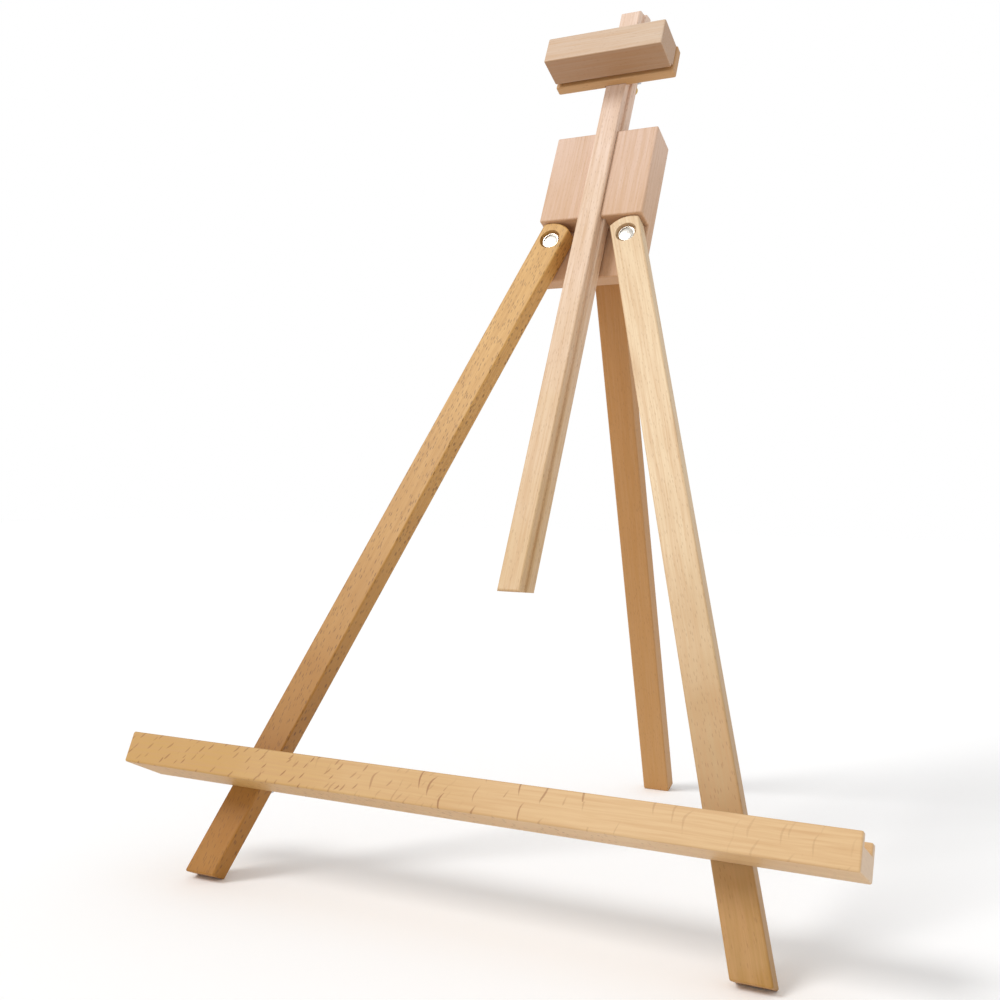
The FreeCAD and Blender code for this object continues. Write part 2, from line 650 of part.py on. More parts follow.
def make_pivot(side, prefix):
    """Screw post through the front leg, a thin washer behind the leg, and the screw from the back."""
    x = S["pivot_half"] * side
    z = S["pivot_rise"]
    seat = LEG_FRONT + S["counterbore_deep"]
    end = HEAD_BACK - POST_SHORT
    thread = S["post_thread"]
    hollow = end - seat - POST_CLOSED_END
    head = rod("post_head", S["post_head"], (x, seat - S["post_head_thick"], z), S["post_head_thick"])
    barrel = rod("post_barrel", S["post_barrel"], (x, seat, z), end - seat)
    bore = rod("post_bore", thread + S["pivot_gap"] * 2, (x, end - hollow, z), hollow + HIDDEN_EXTRA)
    node(f"{prefix}_pivot_post", cut(f"{prefix}_pivot_post", fused("post", [head, barrel]), [bore]))

    back = HEAD_BACK
    screw_head = rod("screw_head", S["post_head"], (x, back, z), S["post_head_thick"])
    shank = rod("screw_shank", thread, (x, back - hollow + 1, z), hollow - 1 + S["post_head_thick"] / 2)
    slot = box("screw_slot", (x - S["post_head"], x + S["post_head"]),
               (back + S["post_head_thick"] / 2, back + S["post_head_thick"] + HIDDEN_EXTRA),
               (z - DRIVER_SLOT / 2, z + DRIVER_SLOT / 2))
    screw = fused("pivot_screw", [screw_head, shank])
    node(f"{prefix}_pivot_screw", cut(f"{prefix}_pivot_screw", screw, [slot]))

    disc = rod("pivot_disc", S["post_head"] + 1, (x, LEG_BACK, z), S["pivot_washer"])
    hole = rod("disc_hole", S["post_barrel"] + S["pivot_gap"] * 2, (x, LEG_BACK - 1, z),
               S["pivot_washer"] + 2)
    node(f"{prefix}_pivot_washer", cut(f"{prefix}_pivot_washer", disc, [hole]))


# ---------------------------------------------------------------- hinge of the back leg

def leaf_screw_places():
    """Places of one leaf's screws: across the leaf and away from the pin."""
    across = S["leaf_wide"] / 4
    near = S["leaf_long"] * 0.4
    far = S["leaf_long"] * 0.8
    return [(-across, near), (across, near), (Size.of(0), far)]


def hinge_leaf(name, surface, inward, up, knuckles):
    """One leaf with its knuckles, in a frame whose origin is the hinge pin.

    surface is the depth of the face that lies on the wood, inward is +1 or -1 for the way from that face
    to the pin, up is +1 or -1 for the side of the pin that the leaf lies on, and knuckles are the
    stretches of the pin that it holds.
    """
    gap = S["hinge_gap"]
    half = S["leaf_wide"] / 2
    depth = sorted_pair(surface, surface + S["leaf_thick"] * inward)
    clear = KNUCKLE_RADIUS + gap * 4
    pieces = [box(f"{name}_plate", (-half, half), depth, sorted_pair(clear * up, S["leaf_long"] * up))]
    for low, high in knuckles:
        pieces.append(box(f"{name}_tab", (low, high), depth, sorted_pair(Size.of(0), (clear + gap) * up)))
        pieces.append(rod(f"{name}_knuckle", S["knuckle"] - gap * 2, (low, 0, 0), high - low, TURN_TO_X))
    bore = rod(f"{name}_bore", S["hinge_pin"] + S["pivot_gap"] * 2, (-half - 1, 0, 0),
               S["leaf_wide"] + 2, TURN_TO_X)
    tools = [bore]
    turn = TURN_TO_MINUS_Y if inward > 0 else TURN_TO_Y
    for x, z in leaf_screw_places():
        start = (x, surface + S["leaf_thick"] * inward, z * up)
        tools.append(taper(f"{name}_sink", S["wood_screw_head"] + S["seat_gap"] * 2,
                           S["wood_screw"] + S["seat_gap"] * 2, start, S["leaf_thick"], turn))
    return cut(name, fused(f"{name}_metal", pieces), tools)


def sorted_pair(first, second):
    """Two sizes, the smaller first."""
    return (first, second) if first.value < second.value else (second, first)


def make_hinge():
    """Steel butt hinge between the head block's back and the back leg's front face."""
    pin_place = PANEL.multiply(Placement(Vector(0, PIN_DEPTH.value, S["hinge_rise"].value), Rotation()))
    half = S["leaf_wide"] / 2
    middle = S["knuckle_mid"] / 2
    gap = S["hinge_gap"]
    outer = [(-half, -middle - gap), (middle + gap, half)]
    head_leaf = hinge_leaf("hinge_head_leaf", -KNUCKLE_RADIUS, 1, 1, outer)
    node("hinge_head_leaf", head_leaf, pin_place)
    leg_leaf = hinge_leaf("hinge_leg_leaf", KNUCKLE_RADIUS, -1, -1, [(-middle, middle)])
    node("hinge_leg_leaf", leg_leaf, prop_frame())
    pin = rod("hinge_pin", S["hinge_pin"], (-half - 0.8, 0, 0), S["leaf_wide"] + 1.6, TURN_TO_X)
    node("hinge_pin", group("hinge_pin_group", [pin]), pin_place)

    head_face = -KNUCKLE_RADIUS + S["leaf_thick"]
    leg_face = KNUCKLE_RADIUS - S["leaf_thick"]
    head_screws = []
    leg_screws = []
    for i, (x, z) in enumerate(leaf_screw_places()):
        head_screws.append(wood_screw(f"head_screw_{i}", (x, head_face, z), S["wood_screw_long"],
                                      TURN_TO_MINUS_Y))
        leg_screws.append(wood_screw(f"leg_screw_{i}", (x, leg_face, -z), S["wood_screw_long"], TURN_TO_Y))
    node("hinge_head_screws", group("hinge_head_screws", head_screws), pin_place)
    node("hinge_leg_screws", group("hinge_leg_screws", leg_screws), prop_frame())


# ---------------------------------------------------------------- wing screws, inserts and washers

def threaded_insert(name, place, length):
    """Threaded insert whose open end lies at a point and which runs forward from there."""
    sleeve = rod(f"{name}_sleeve", S["insert_wide"], place, length, TURN_TO_MINUS_Y)
    bore = rod(f"{name}_bore", S["wing_thread"] + S["pivot_gap"] * 2, place, length, TURN_TO_MINUS_Y)
    node(name, cut(name, sleeve, [bore]))


def wing_screw(name, x, z, seat, tip):
    """Wing screw whose hub sits at a depth and whose thread runs forward to its tip."""
    hub_end = seat + S["wing_hub_long"]
    hub = rod(f"{name}_hub", S["wing_hub"], (x, seat, z), S["wing_hub_long"])
    crown = taper(f"{name}_crown", S["wing_hub"], S["wing_hub"] - CROWN_RISE * 2, (x, hub_end, z), CROWN_RISE)
    thread = rod(f"{name}_thread", S["wing_thread"], (x, tip, z), seat - tip + 1)
    half_span = S["wing_span"] / 2
    thick = S["wing_thick"]
    blade = box(f"{name}_wings", (x - half_span, x + half_span), (seat + 2.5, hub_end + 5),
                (z - thick / 2, z + thick / 2))
    ear_wide = S["wing_hub_long"] + 3
    outline = [box(f"{name}_web", (x - half_span / 2, x + half_span / 2), (seat + 2, hub_end),
                   (z - thick, z + thick))]
    for side in (-1, 1):
        middle = (x + (half_span - ear_wide / 2) * side, seat + S["wing_hub_long"] / 2 + 4, z - thick)
        outline.append(rod(f"{name}_ear_{side}", ear_wide, middle, thick * 2, Rotation()))
    wings = doc.addObject("Part::Common", f"{name}_rounded")
    wings.Base = blade
    wings.Tool = fused(f"{name}_outline", outline)
    node(name, fused(name, [hub, crown, thread, wings]))


def make_mast_lock():
    """Wing screw behind the head block that presses on the back of the mast."""
    threaded_insert("mast_lock_insert", (0, HEAD_BACK, S["lock_rise"]), S["slot_wall"] - S["insert_cover"])
    wing_screw("mast_lock_screw", Size.of(0), S["lock_rise"], HEAD_BACK + 1.5, MAST_BACK + S["tip_gap"])


def make_ledge_fastening(side, prefix, tip):
    """Wing screw and washer behind a front leg, and the insert in the ledge that it goes to."""
    x = INSERT_HALF * side
    threaded_insert(f"{prefix}_ledge_insert", (x, LEDGE_BACK - S["tip_gap"], INSERT_HEIGHT), S["insert_long"])
    disc = rod("washer_disc", S["washer_wide"], (x, LEG_BACK, INSERT_HEIGHT), S["washer_thick"])
    hole = rod("washer_hole", S["wing_thread"] + WASHER_PLAY, (x, LEG_BACK - 1, INSERT_HEIGHT),
               S["washer_thick"] + 2)
    node(f"{prefix}_ledge_washer", cut(f"{prefix}_ledge_washer", disc, [hole]))
    seat = LEG_BACK + S["washer_thick"] + HUB_LIFT
    wing_screw(f"{prefix}_ledge_screw", x, INSERT_HEIGHT, seat, tip)


# ---------------------------------------------------------------- hardware of the clamp

def stirrup_screw_half():
    """Each ear screw of the stirrup from the middle."""
    return STIRRUP_HALF + S["stirrup_ear"] / 2


def ear_screw_long():
    """Length of the ear screws, which stay inside the clamp's back plate."""
    return S["clamp_plate"] - 1


def make_clamp_hardware():
    """Stirrup that holds the clamp to the mast, its nut and lock screw, and the clamp's wood screws."""
    thick = S["stirrup_thick"]
    height = (STIRRUP_HEIGHT - S["stirrup_tall"] / 2, STIRRUP_HEIGHT + S["stirrup_tall"] / 2)
    back = (STIRRUP_BACK - thick, STIRRUP_BACK)
    ear_face = (CLAMP_BACK, CLAMP_BACK + thick)
    pieces = [box("stirrup_bridge", (-STIRRUP_HALF, STIRRUP_HALF), back, height)]
    tools = [rod("stirrup_hole", S["small_thread"] + S["pivot_gap"] * 2,
                 (0, STIRRUP_BACK - thick - 1, STIRRUP_HEIGHT), thick + 2)]
    for side in (-1, 1):
        cheek = sorted_pair(STIRRUP_HALF * side, (STIRRUP_HALF - thick) * side)
        ear = sorted_pair((STIRRUP_HALF - thick) * side, (STIRRUP_HALF + S["stirrup_ear"]) * side)
        pieces.append(box("stirrup_cheek", cheek, (CLAMP_BACK, STIRRUP_BACK), height))
        pieces.append(box("stirrup_ear", ear, ear_face, height))
        tools.append(taper("ear_sink", S["wood_screw_head"] + S["seat_gap"] * 2,
                           S["wood_screw"] + S["seat_gap"] * 2,
                           (stirrup_screw_half() * side, CLAMP_BACK + thick, STIRRUP_HEIGHT), thick,
                           TURN_TO_MINUS_Y))
    node("clamp_stirrup", cut("clamp_stirrup", fused("stirrup_metal", pieces), tools))

    nut = rod("small_nut_body", S["small_nut"], (0, STIRRUP_BACK, STIRRUP_HEIGHT), S["small_nut_long"])
    bore = rod("small_nut_bore", S["small_thread"] + S["pivot_gap"] * 2,
               (0, STIRRUP_BACK - 1, STIRRUP_HEIGHT), S["small_nut_long"] + 2)
    node("clamp_lock_nut", cut("clamp_lock_nut", nut, [bore]))

    tip = MAST_BACK + S["tip_gap"] / 2
    seat = STIRRUP_BACK + S["small_nut_long"] + 1.2
    head = rod("small_screw_head", S["small_head"], (0, seat, STIRRUP_HEIGHT), S["small_head_long"])
    edge = taper("small_screw_edge", S["small_head"], S["small_head"] - 1.6,
                 (0, seat + S["small_head_long"], STIRRUP_HEIGHT), 0.8)
    shank = rod("small_screw_shank", S["small_thread"], (0, tip, STIRRUP_HEIGHT), seat - tip + 1)
    node("clamp_lock_screw", fused("clamp_lock_screw", [head, edge, shank]))

    height = CLAMP_BOTTOM + S["clamp_tall"] / 2
    long_screws = [wood_screw(f"clamp_screw_{side + 1}", (S["clamp_screw_half"] * side, CLAMP_BACK, height),
                              S["clamp_screw_long"], TURN_TO_MINUS_Y) for side in (-1, 1)]
    node("clamp_screws", group("clamp_screws", long_screws))
    ear_screws = []
    for side in (-1, 1):
        place = (stirrup_screw_half() * side, CLAMP_BACK + thick, STIRRUP_HEIGHT)
        head = taper("ear_screw_head", S["wood_screw_head"], S["wood_screw"], place, thick, TURN_TO_MINUS_Y)
        shank = rod("ear_screw_shank", S["wood_screw"], place, thick + ear_screw_long(), TURN_TO_MINUS_Y)
        ear_screws.append(fused("ear_screw", [head, shank]))
    node("stirrup_screws", group("stirrup_screws", ear_screws))


# ---------------------------------------------------------------- the easel

make_head_block()
make_mast()
make_front_leg(-1, "left_leg")
make_front_leg(1, "right_leg")
make_back_leg()
make_ledge()
make_clamp_wood()
make_pivot(-1, "left")
make_pivot(1, "right")
make_hinge()
make_mast_lock()
make_ledge_fastening(-1, "left", LEDGE_BACK - S["tip_gap"] - S["insert_long"])
# The right wing screw stops short of the ledge: there the frame's closed triangle is opened.
make_ledge_fastening(1, "right", LEDGE_BACK + S["tip_gap"])
make_clamp_hardware()

doc.recompute()
for item in doc.Objects:
    if "Invalid" in item.State or "Error" in item.State:
        raise RuntimeError(f"{item.Name} failed: {item.State}")

os.makedirs("parts", exist_ok=True)
for name, item in nodes.items():
    if item.Shape.isNull() or not item.Shape.isValid():
        raise RuntimeError(f"{name} has no valid shape")
    item.Shape.exportStep(os.path.join("parts", f"{name}.step"))
print(f"{len(nodes)} sub-parts written")
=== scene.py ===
"""Looks of a tabletop easel: sanded beech, plated steel and brass, in a plain studio."""

import json
import logging
import math
from dataclasses import dataclass
from enum import Enum

import bpy
from mathutils import Euler, Matrix, Vector


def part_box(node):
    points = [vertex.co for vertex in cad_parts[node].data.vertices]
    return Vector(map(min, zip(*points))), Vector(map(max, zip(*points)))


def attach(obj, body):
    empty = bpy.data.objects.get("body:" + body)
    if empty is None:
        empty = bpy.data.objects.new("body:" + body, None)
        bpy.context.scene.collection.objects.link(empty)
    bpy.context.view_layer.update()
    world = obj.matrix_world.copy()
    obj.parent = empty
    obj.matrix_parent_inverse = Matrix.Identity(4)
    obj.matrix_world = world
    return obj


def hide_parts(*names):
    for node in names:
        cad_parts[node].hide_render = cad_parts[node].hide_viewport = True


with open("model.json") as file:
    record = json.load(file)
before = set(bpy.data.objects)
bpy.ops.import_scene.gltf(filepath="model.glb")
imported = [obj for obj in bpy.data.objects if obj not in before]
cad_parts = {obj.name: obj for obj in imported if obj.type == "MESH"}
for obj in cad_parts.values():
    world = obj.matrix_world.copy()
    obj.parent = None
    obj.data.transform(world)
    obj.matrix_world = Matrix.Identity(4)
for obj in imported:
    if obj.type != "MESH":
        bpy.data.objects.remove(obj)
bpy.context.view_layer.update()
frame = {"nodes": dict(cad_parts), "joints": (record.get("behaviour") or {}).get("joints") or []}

LOG = logging.getLogger("easel")


def mm(length: float) -> float:
    """Return a length in millimetres as metres."""
    return length / 1000.0


def in_mm(length: float) -> float:
    """Return a length in metres as millimetres."""
    return length * 1000


def linear(colour: str) -> tuple[float, float, float, float]:
    """Turn an sRGB hex colour into linear light.

    Args:
        colour: A colour such as "#D9B88F".

    Returns:
        Red, green, blue and alpha, linear.
    """
    channels = [int(colour[i:i + 2], 16) / 255.0 for i in (1, 3, 5)]
    light = [c / 12.92 if c <= 0.04045 else ((c + 0.055) / 1.055) ** 2.4 for c in channels]
    return (light[0], light[1], light[2], 1.0)


class Slot(Enum):
    """The record's material slots that new pieces take their finish from."""

    NICKEL = "nickel_plated_steel"
    ZINC = "zinc_plated_steel"
    BRASS = "brass"


@dataclass(frozen=True)
class RayFigure:
    """One crop of the small dark marks that a beech's rays leave on a face, all sizes in mm.

    Args:
        cell: Spacing of the marks across the board, through it and along its grain.
        half: Half of a mark's own size across the board, through it and along its grain.
        tilt: Lean of the marks from the grain, degrees.
        curl: How strongly a mark bows along the grain, per mm.
        bend: How far the marks wander from straight.
        share: Part of the places that hold a mark, 0 to 1.
        depth: How dark the marks are, 0 to 1.
        fade: Where along the grain the figure starts to show, shows fully, stops showing fully and is
            nearly gone, mm from the middle.
    """

    cell: tuple[float, float, float]
    half: tuple[float, float, float]
    tilt: float = 0.0
    curl: float = 0.0
    bend: float = 0.5
    share: float = 0.9
    depth: float = 0.6
    fade: tuple[float, float, float, float] | None = None


# Flat-sawn beech shows its rays as short dashes along the grain, drawn a little larger than real ones.
DASHES = RayFigure((1.6, 1.8, 4.6), (0.34, 0.8, 1.6), tilt=4.0, depth=0.34, share=0.8)
FAINT_DASHES = RayFigure((1.5, 1.8, 4.0), (0.30, 0.8, 1.3), tilt=3.0, depth=0.20, share=0.7)
STRONG_DASHES = RayFigure((1.7, 2.0, 5.0), (0.42, 1.0, 2.0), tilt=7.0, depth=0.72)
# The ledge is sawn on the quarter: short slanted flakes at its left end, long bowed ones in its middle.
SHORT_FLAKES = RayFigure((6.4, 3.2, 9.0), (3.3, 2.4, 0.6), tilt=-40.0, curl=-0.03, bend=2.0, share=0.9,
                         depth=0.85, fade=(-20.0, 60.0, 230.0, 240.0))
LONG_FLAKES = RayFigure((13.0, 3.4, 12.0), (6.8, 2.8, 0.7), tilt=-16.0, curl=0.045, bend=3.0, share=0.75,
                        depth=0.72, fade=(130.0, 20.0, -60.0, -140.0))


# ---------------------------------------------------------------- the easel's own leaning frame

@dataclass(frozen=True)
class LeaningFrame:
    """Axes of the easel's leaning front: x to the right, y backwards, z up the mast.

    Args:
        origin: Where the frame's zero lies in the row frame, metres.
        back: Direction backwards through the easel.
        up: Direction up the mast.
    """

    origin: Vector
    back: Vector
    up: Vector

    @staticmethod
    def from_joints() -> "LeaningFrame":
        """Read the leaning axes from the mast's slide and the mast lock's axis."""
        joints = {j["name"]: j for j in frame["joints"]}
        up = Vector(joints["mast_slide"]["axis"]).normalized()
        forward = Vector(joints["mast_lock_turn"]["axis"]).normalized()
        return LeaningFrame(Vector(joints["mast_lock_turn"]["pos_m"]), -forward, up)

    def matrix(self) -> Matrix:
        """Return the matrix from this frame to the row frame."""
        turn = Matrix((Vector((1, 0, 0)), self.back, self.up)).transposed()
        return Matrix.Translation(self.origin) @ turn.to_4x4()

    def extent(self, node: str) -> tuple[Vector, Vector]:
        """Measure a CAD node along this frame's axes.

        Args:
            node: Name of the CAD node.

        Returns:
            Its lowest and highest corner in this frame, metres.
        """
        to_local = self.matrix().inverted()
        points = [to_local @ v.co for v in frame["nodes"][node].data.vertices]
        low = Vector([min(p[i] for p in points) for i in range(3)])
        high = Vector([max(p[i] for p in points) for i in range(3)])
        return low, high


# ---------------------------------------------------------------- material nodes

class NodeTree:
    """A material's node tree, filled one node at a time."""

    def __init__(self, name: str) -> None:
        """Make an empty material with a Principled shader."""
        self.material = bpy.data.materials.new(name)
        self.material.use_nodes = True
        self.tree = self.material.node_tree
        self.shader = self.tree.nodes["Principled BSDF"]

    def add(self, kind: str, settings: dict | None = None, links: dict | None = None) -> bpy.types.Node:
        """Add a node with its settings and the links into it.

        Args:
            kind: Blender's name of the node type.
            settings: Names of properties, or names and numbers of inputs, and their values.
            links: Input name or number to the output socket that feeds it.

        Returns:
            The new node.
        """
        node = self.tree.nodes.new(kind)
        for key, value in (settings or {}).items():
            if isinstance(key, str) and hasattr(node, key):
                setattr(node, key, value)
            else:
                node.inputs[key].default_value = value
        for key, socket in (links or {}).items():
            self.tree.links.new(socket, node.inputs[key])
        return node

    def mix(self, factor: bpy.types.NodeSocket, tint: str,
            under: bpy.types.NodeSocket) -> bpy.types.NodeSocket:
        """Lay a plain colour over a coloured socket where a factor is high."""
        return self.add("ShaderNodeMix", {"data_type": "RGBA", 7: linear(tint)},
                        {0: factor, 6: under}).outputs[2]


@dataclass(frozen=True)
class BeechFinish:
    """Sanded and lightly oiled beech: pale, faintly pink, with fine dark ray dashes.

    The eye gets long soft streaks along the board, small ray marks all over, rings on the end grain and
    the dull sheen of wood rubbed with oil. Painted light and shade are laid into the colour too: it blends
    from one end of the board to the other as the light falls along it, and faces that look down are
    painted in shade.

    Args:
        name: Name of the material.
        turn: Turn of the board's own axes in the row frame; the grain runs along its z.
        head_tone_and_light: Colour at the board's upper end: its wood tone with the painted light and shade
            of that end.
        foot_tone_and_light: Colour at the board's lower end: its wood tone with the painted light and shade
            of that end.
        span: Place along the grain of the foot tone and of the head tone, metres from centre; between them
            the painted light fades from one to the other.
        centre: Point of the row frame that the board's own axes start from.
        figures: The crops of ray marks on it.
        pith: How far the middle of the tree lies from the board across the face and in depth, metres.
        ring_depth: How dark the late wood of each ring is, 0 to 1.
        end_tone: Colour of the sawn ends.
        streak_tone: Colour of the late wood and of the fibres.
        ray_tone: Colour of the ray marks.
        under_shade_tone: Colour of the painted shade on the faces that look down.
        under_shade_depth: How much of that painted shade they show, 0 to 1.
        down: Direction down the mast.
    """

    name: str
    turn: Matrix
    head_tone_and_light: str
    foot_tone_and_light: str
    span: tuple[float, float]
    centre: Vector
    figures: tuple[RayFigure, ...] = (DASHES,)
    pith: tuple[float, float] = (0.012, 0.085)
    ring_depth: float = 0.16
    end_tone: str = "#B98B5E"
    streak_tone: str = "#BF9160"
    ray_tone: str = "#86582E"
    under_shade_tone: str = "#A3703F"
    under_shade_depth: float = 0.0
    down: tuple[float, float, float] = (0.0, -0.42, -0.91)

    RING_SPACING = 3.4        # mm between growth rings
    FIBRE_WIDTH = 1.1         # mm, coarser than real fibre bundles, so that they show
    FIBRE_STRETCH = 0.025     # fibre's width as a share of its length
    WANDERS_PER_METRE = 9.0   # slow bends of the grain
    WANDER_REACH = (3.0, 3.0, 9.0)   # mm across, through and along the board
    CLOUDS_PER_METRE = 24.0   # lighter and darker patches along the board
    CLOUD_CONTRAST = 0.5      # how far those patches shift the blend between the two tones
    SWAY_LENGTH = 14.0        # mm over which a ray mark wanders from straight
    FAINTEST_MARK = 0.4       # darkness of the faintest mark, as a share of the darkest
    FADED_REST = 0.25         # darkness that marks keep past the end of their stretch

    def make(self) -> bpy.types.Material:
        """Build the material."""
        tree = NodeTree(self.name)
        place = tree.add("ShaderNodeTexCoord")
        board = tree.add("ShaderNodeMapping", {"vector_type": "TEXTURE", "Location": self.centre,
                                               "Rotation": self.turn.to_euler()},
                         {"Vector": place.outputs["Object"]})
        wander = tree.add("ShaderNodeTexNoise", {"Scale": self.WANDERS_PER_METRE, "Detail": 2.0},
                          {"Vector": board.outputs[0]})
        drift = tree.add("ShaderNodeVectorMath", {"operation": "MULTIPLY_ADD",
                                                  1: [mm(reach) for reach in self.WANDER_REACH]},
                         {0: wander.outputs["Color"], 2: board.outputs[0]})
        # Painted light: the colour blends from one end of the board to the other as light and shade fall
        # along it.
        wood = self.tone_and_painted_light_along_board(tree, board)
        wood = self.growth_rings(tree, drift, wood)
        wood, fibre = self.fibres(tree, drift, wood)
        wood, dashes = self.rays(tree, board, wood)
        wood = self.end_grain(tree, place, wood)
        # Painted shade on the faces that look down.
        wood = self.painted_underside_shade(tree, place, wood)
        tree.tree.links.new(wood, tree.shader.inputs["Base Color"])
        self.surface(tree, fibre, dashes)
        return tree.material

    def tone_and_painted_light_along_board(self, tree: NodeTree, board: bpy.types.Node) -> bpy.types.NodeSocket:
        """Blend from the foot's tone to the head's tone, which paints the light and shade that fall along the
        board into the colour, with slow cloudy variation of the wood's own tone.
        """
        parts = tree.add("ShaderNodeSeparateXYZ", {}, {0: board.outputs[0]})
        along = tree.add("ShaderNodeMapRange", {"From Min": self.span[0], "From Max": self.span[1]},
                         {"Value": parts.outputs["Z"]})
        cloud = tree.add("ShaderNodeTexNoise", {"Scale": self.CLOUDS_PER_METRE, "Detail": 3.0},
                         {"Vector": board.outputs[0]})
        uneven = tree.add("ShaderNodeMath", {"operation": "MULTIPLY_ADD", 1: self.CLOUD_CONTRAST,
                                             2: -self.CLOUD_CONTRAST / 2}, {0: cloud.outputs["Fac"]})
        total = tree.add("ShaderNodeMath", {"operation": "ADD", "use_clamp": True},
                         {0: along.outputs[0], 1: uneven.outputs[0]})
        blend = tree.add("ShaderNodeMix", {"data_type": "RGBA", 6: linear(self.foot_tone_and_light),
                                           7: linear(self.head_tone_and_light)}, {0: total.outputs[0]})
        return blend.outputs[2]

    def growth_rings(self, tree: NodeTree, drift: bpy.types.Node,
                     wood: bpy.types.NodeSocket) -> bpy.types.NodeSocket:
        """Darken the late wood of each ring: long flames on the faces and arcs on the ends."""
        pith = tree.add("ShaderNodeMapping", {"Location": (self.pith[0], self.pith[1], 0.0),
                                              "Rotation": (0.012, 0.018, 0.0)}, {"Vector": drift.outputs[0]})
        rings = tree.add("ShaderNodeTexWave", {"wave_type": "RINGS", "rings_direction": "Z",
                                               "Scale": math.tau / (20.0 * mm(self.RING_SPACING)),
                                               "Distortion": 1.4, "Detail": 2.0, "Detail Scale": 0.6},
                         {"Vector": pith.outputs[0]})
        late = tree.add("ShaderNodeMapRange", {"From Min": 0.35, "From Max": 1.0, "To Max": self.ring_depth},
                        {"Value": rings.outputs["Fac"]})
        return tree.mix(late.outputs[0], self.streak_tone, wood)

    def fibres(self, tree: NodeTree, drift: bpy.types.Node,
               wood: bpy.types.NodeSocket) -> tuple[bpy.types.NodeSocket, bpy.types.NodeSocket]:
        """Add fine streaks along the grain, and return the colour and the streaks."""
        stretch = tree.add("ShaderNodeMapping", {"Scale": (1.0, 1.0, self.FIBRE_STRETCH)},
                           {"Vector": drift.outputs[0]})
        fine = tree.add("ShaderNodeTexNoise", {"Scale": 1.0 / mm(self.FIBRE_WIDTH), "Detail": 3.0,
                                               "Roughness": 0.62}, {"Vector": stretch.outputs[0]})
        streak = tree.add("ShaderNodeMapRange", {"From Min": 0.42, "From Max": 0.76, "To Max": 0.55},
                          {"Value": fine.outputs["Fac"]})
        return tree.mix(streak.outputs[0], self.streak_tone, wood), fine.outputs["Fac"]

    def rays(self, tree: NodeTree, board: bpy.types.Node,
             wood: bpy.types.NodeSocket) -> tuple[bpy.types.NodeSocket, bpy.types.NodeSocket]:
        """Lay every crop of ray marks over the colour, and return the colour and the last marks."""
        marks = None
        for figure in self.figures:
            marks = self.ray_marks(tree, board, figure)
            wood = tree.mix(marks, self.ray_tone, wood)
        return wood, marks

    def ray_marks(self, tree: NodeTree, board: bpy.types.Node, figure: RayFigure) -> bpy.types.NodeSocket:
        """Scatter one crop of spindle-shaped marks.

        Args:
            tree: The material's nodes.
            board: Mapping node that gives places in the board's own axes.
            figure: Sizes of the marks.

        Returns:
            How dark the mark is, 0 between marks.
        """
        sway = tree.add("ShaderNodeTexNoise", {"Scale": 1.0 / mm(self.SWAY_LENGTH), "Detail": 1.0},
                        {"Vector": board.outputs[0]})
        bend = (mm(figure.bend) * 0.4, 0.0, mm(figure.bend) * 2.0)
        bent = tree.add("ShaderNodeVectorMath", {"operation": "MULTIPLY_ADD", 1: bend},
                        {0: sway.outputs["Color"], 2: board.outputs[0]})
        density = [1.0 / mm(side) for side in figure.cell]
        grid = tree.add("ShaderNodeVectorMath", {"operation": "MULTIPLY", 1: density}, {0: bent.outputs[0]})
        cells = tree.add("ShaderNodeTexVoronoi", {"feature": "F1", "Scale": 1.0}, {"Vector": grid.outputs[0]})
        offset = tree.add("ShaderNodeVectorMath", {"operation": "SUBTRACT"},
                          {0: grid.outputs[0], 1: cells.outputs["Position"]})
        size = tree.add("ShaderNodeVectorMath", {"operation": "MULTIPLY", 1: figure.cell},
                        {0: offset.outputs[0]})
        tilted = tree.add("ShaderNodeVectorRotate", {"rotation_type": "Y_AXIS",
                                                     "Angle": math.radians(figure.tilt)},
                          {"Vector": size.outputs[0]})
        parts = tree.add("ShaderNodeSeparateXYZ", {}, {0: tilted.outputs[0]})
        square = tree.add("ShaderNodeMath", {"operation": "MULTIPLY"},
                          {0: parts.outputs[0], 1: parts.outputs[0]})
        bowed = tree.add("ShaderNodeMath", {"operation": "MULTIPLY_ADD", 1: figure.curl},
                         {0: square.outputs[0], 2: parts.outputs[2]})
        shaped = tree.add("ShaderNodeCombineXYZ", {}, {0: parts.outputs[0], 1: parts.outputs[1],
                                                       2: bowed.outputs[0]})
        spindle = tree.add("ShaderNodeVectorMath", {"operation": "DIVIDE", 1: figure.half},
                           {0: shaped.outputs[0]})
        reach = tree.add("ShaderNodeVectorMath", {"operation": "LENGTH"}, {0: spindle.outputs[0]})
        shape = tree.add("ShaderNodeMapRange", {"From Min": 1.0, "From Max": 0.55,
                                                "interpolation_type": "SMOOTHSTEP"},
                         {"Value": reach.outputs["Value"]})
        pick = tree.add("ShaderNodeSeparateColor", {}, {0: cells.outputs["Color"]})
        chosen = tree.add("ShaderNodeMath", {"operation": "LESS_THAN", 1: figure.share}, {0: pick.outputs[0]})
        mark = tree.add("ShaderNodeMath", {"operation": "MULTIPLY"},
                        {0: shape.outputs[0], 1: chosen.outputs[0]})
        uneven = tree.add("ShaderNodeMapRange", {"To Min": figure.depth * self.FAINTEST_MARK,
                                                 "To Max": figure.depth}, {"Value": pick.outputs[1]})
        marks = tree.add("ShaderNodeMath", {"operation": "MULTIPLY"},
                         {0: mark.outputs[0], 1: uneven.outputs[0]})
        if figure.fade is None:
            return marks.outputs[0]
        place = tree.add("ShaderNodeSeparateXYZ", {}, {0: board.outputs[0]})
        start, full, last, gone = [mm(where) for where in figure.fade]
        shown = tree.add("ShaderNodeMapRange", {"From Min": start, "From Max": full},
                         {"Value": place.outputs["Z"]})
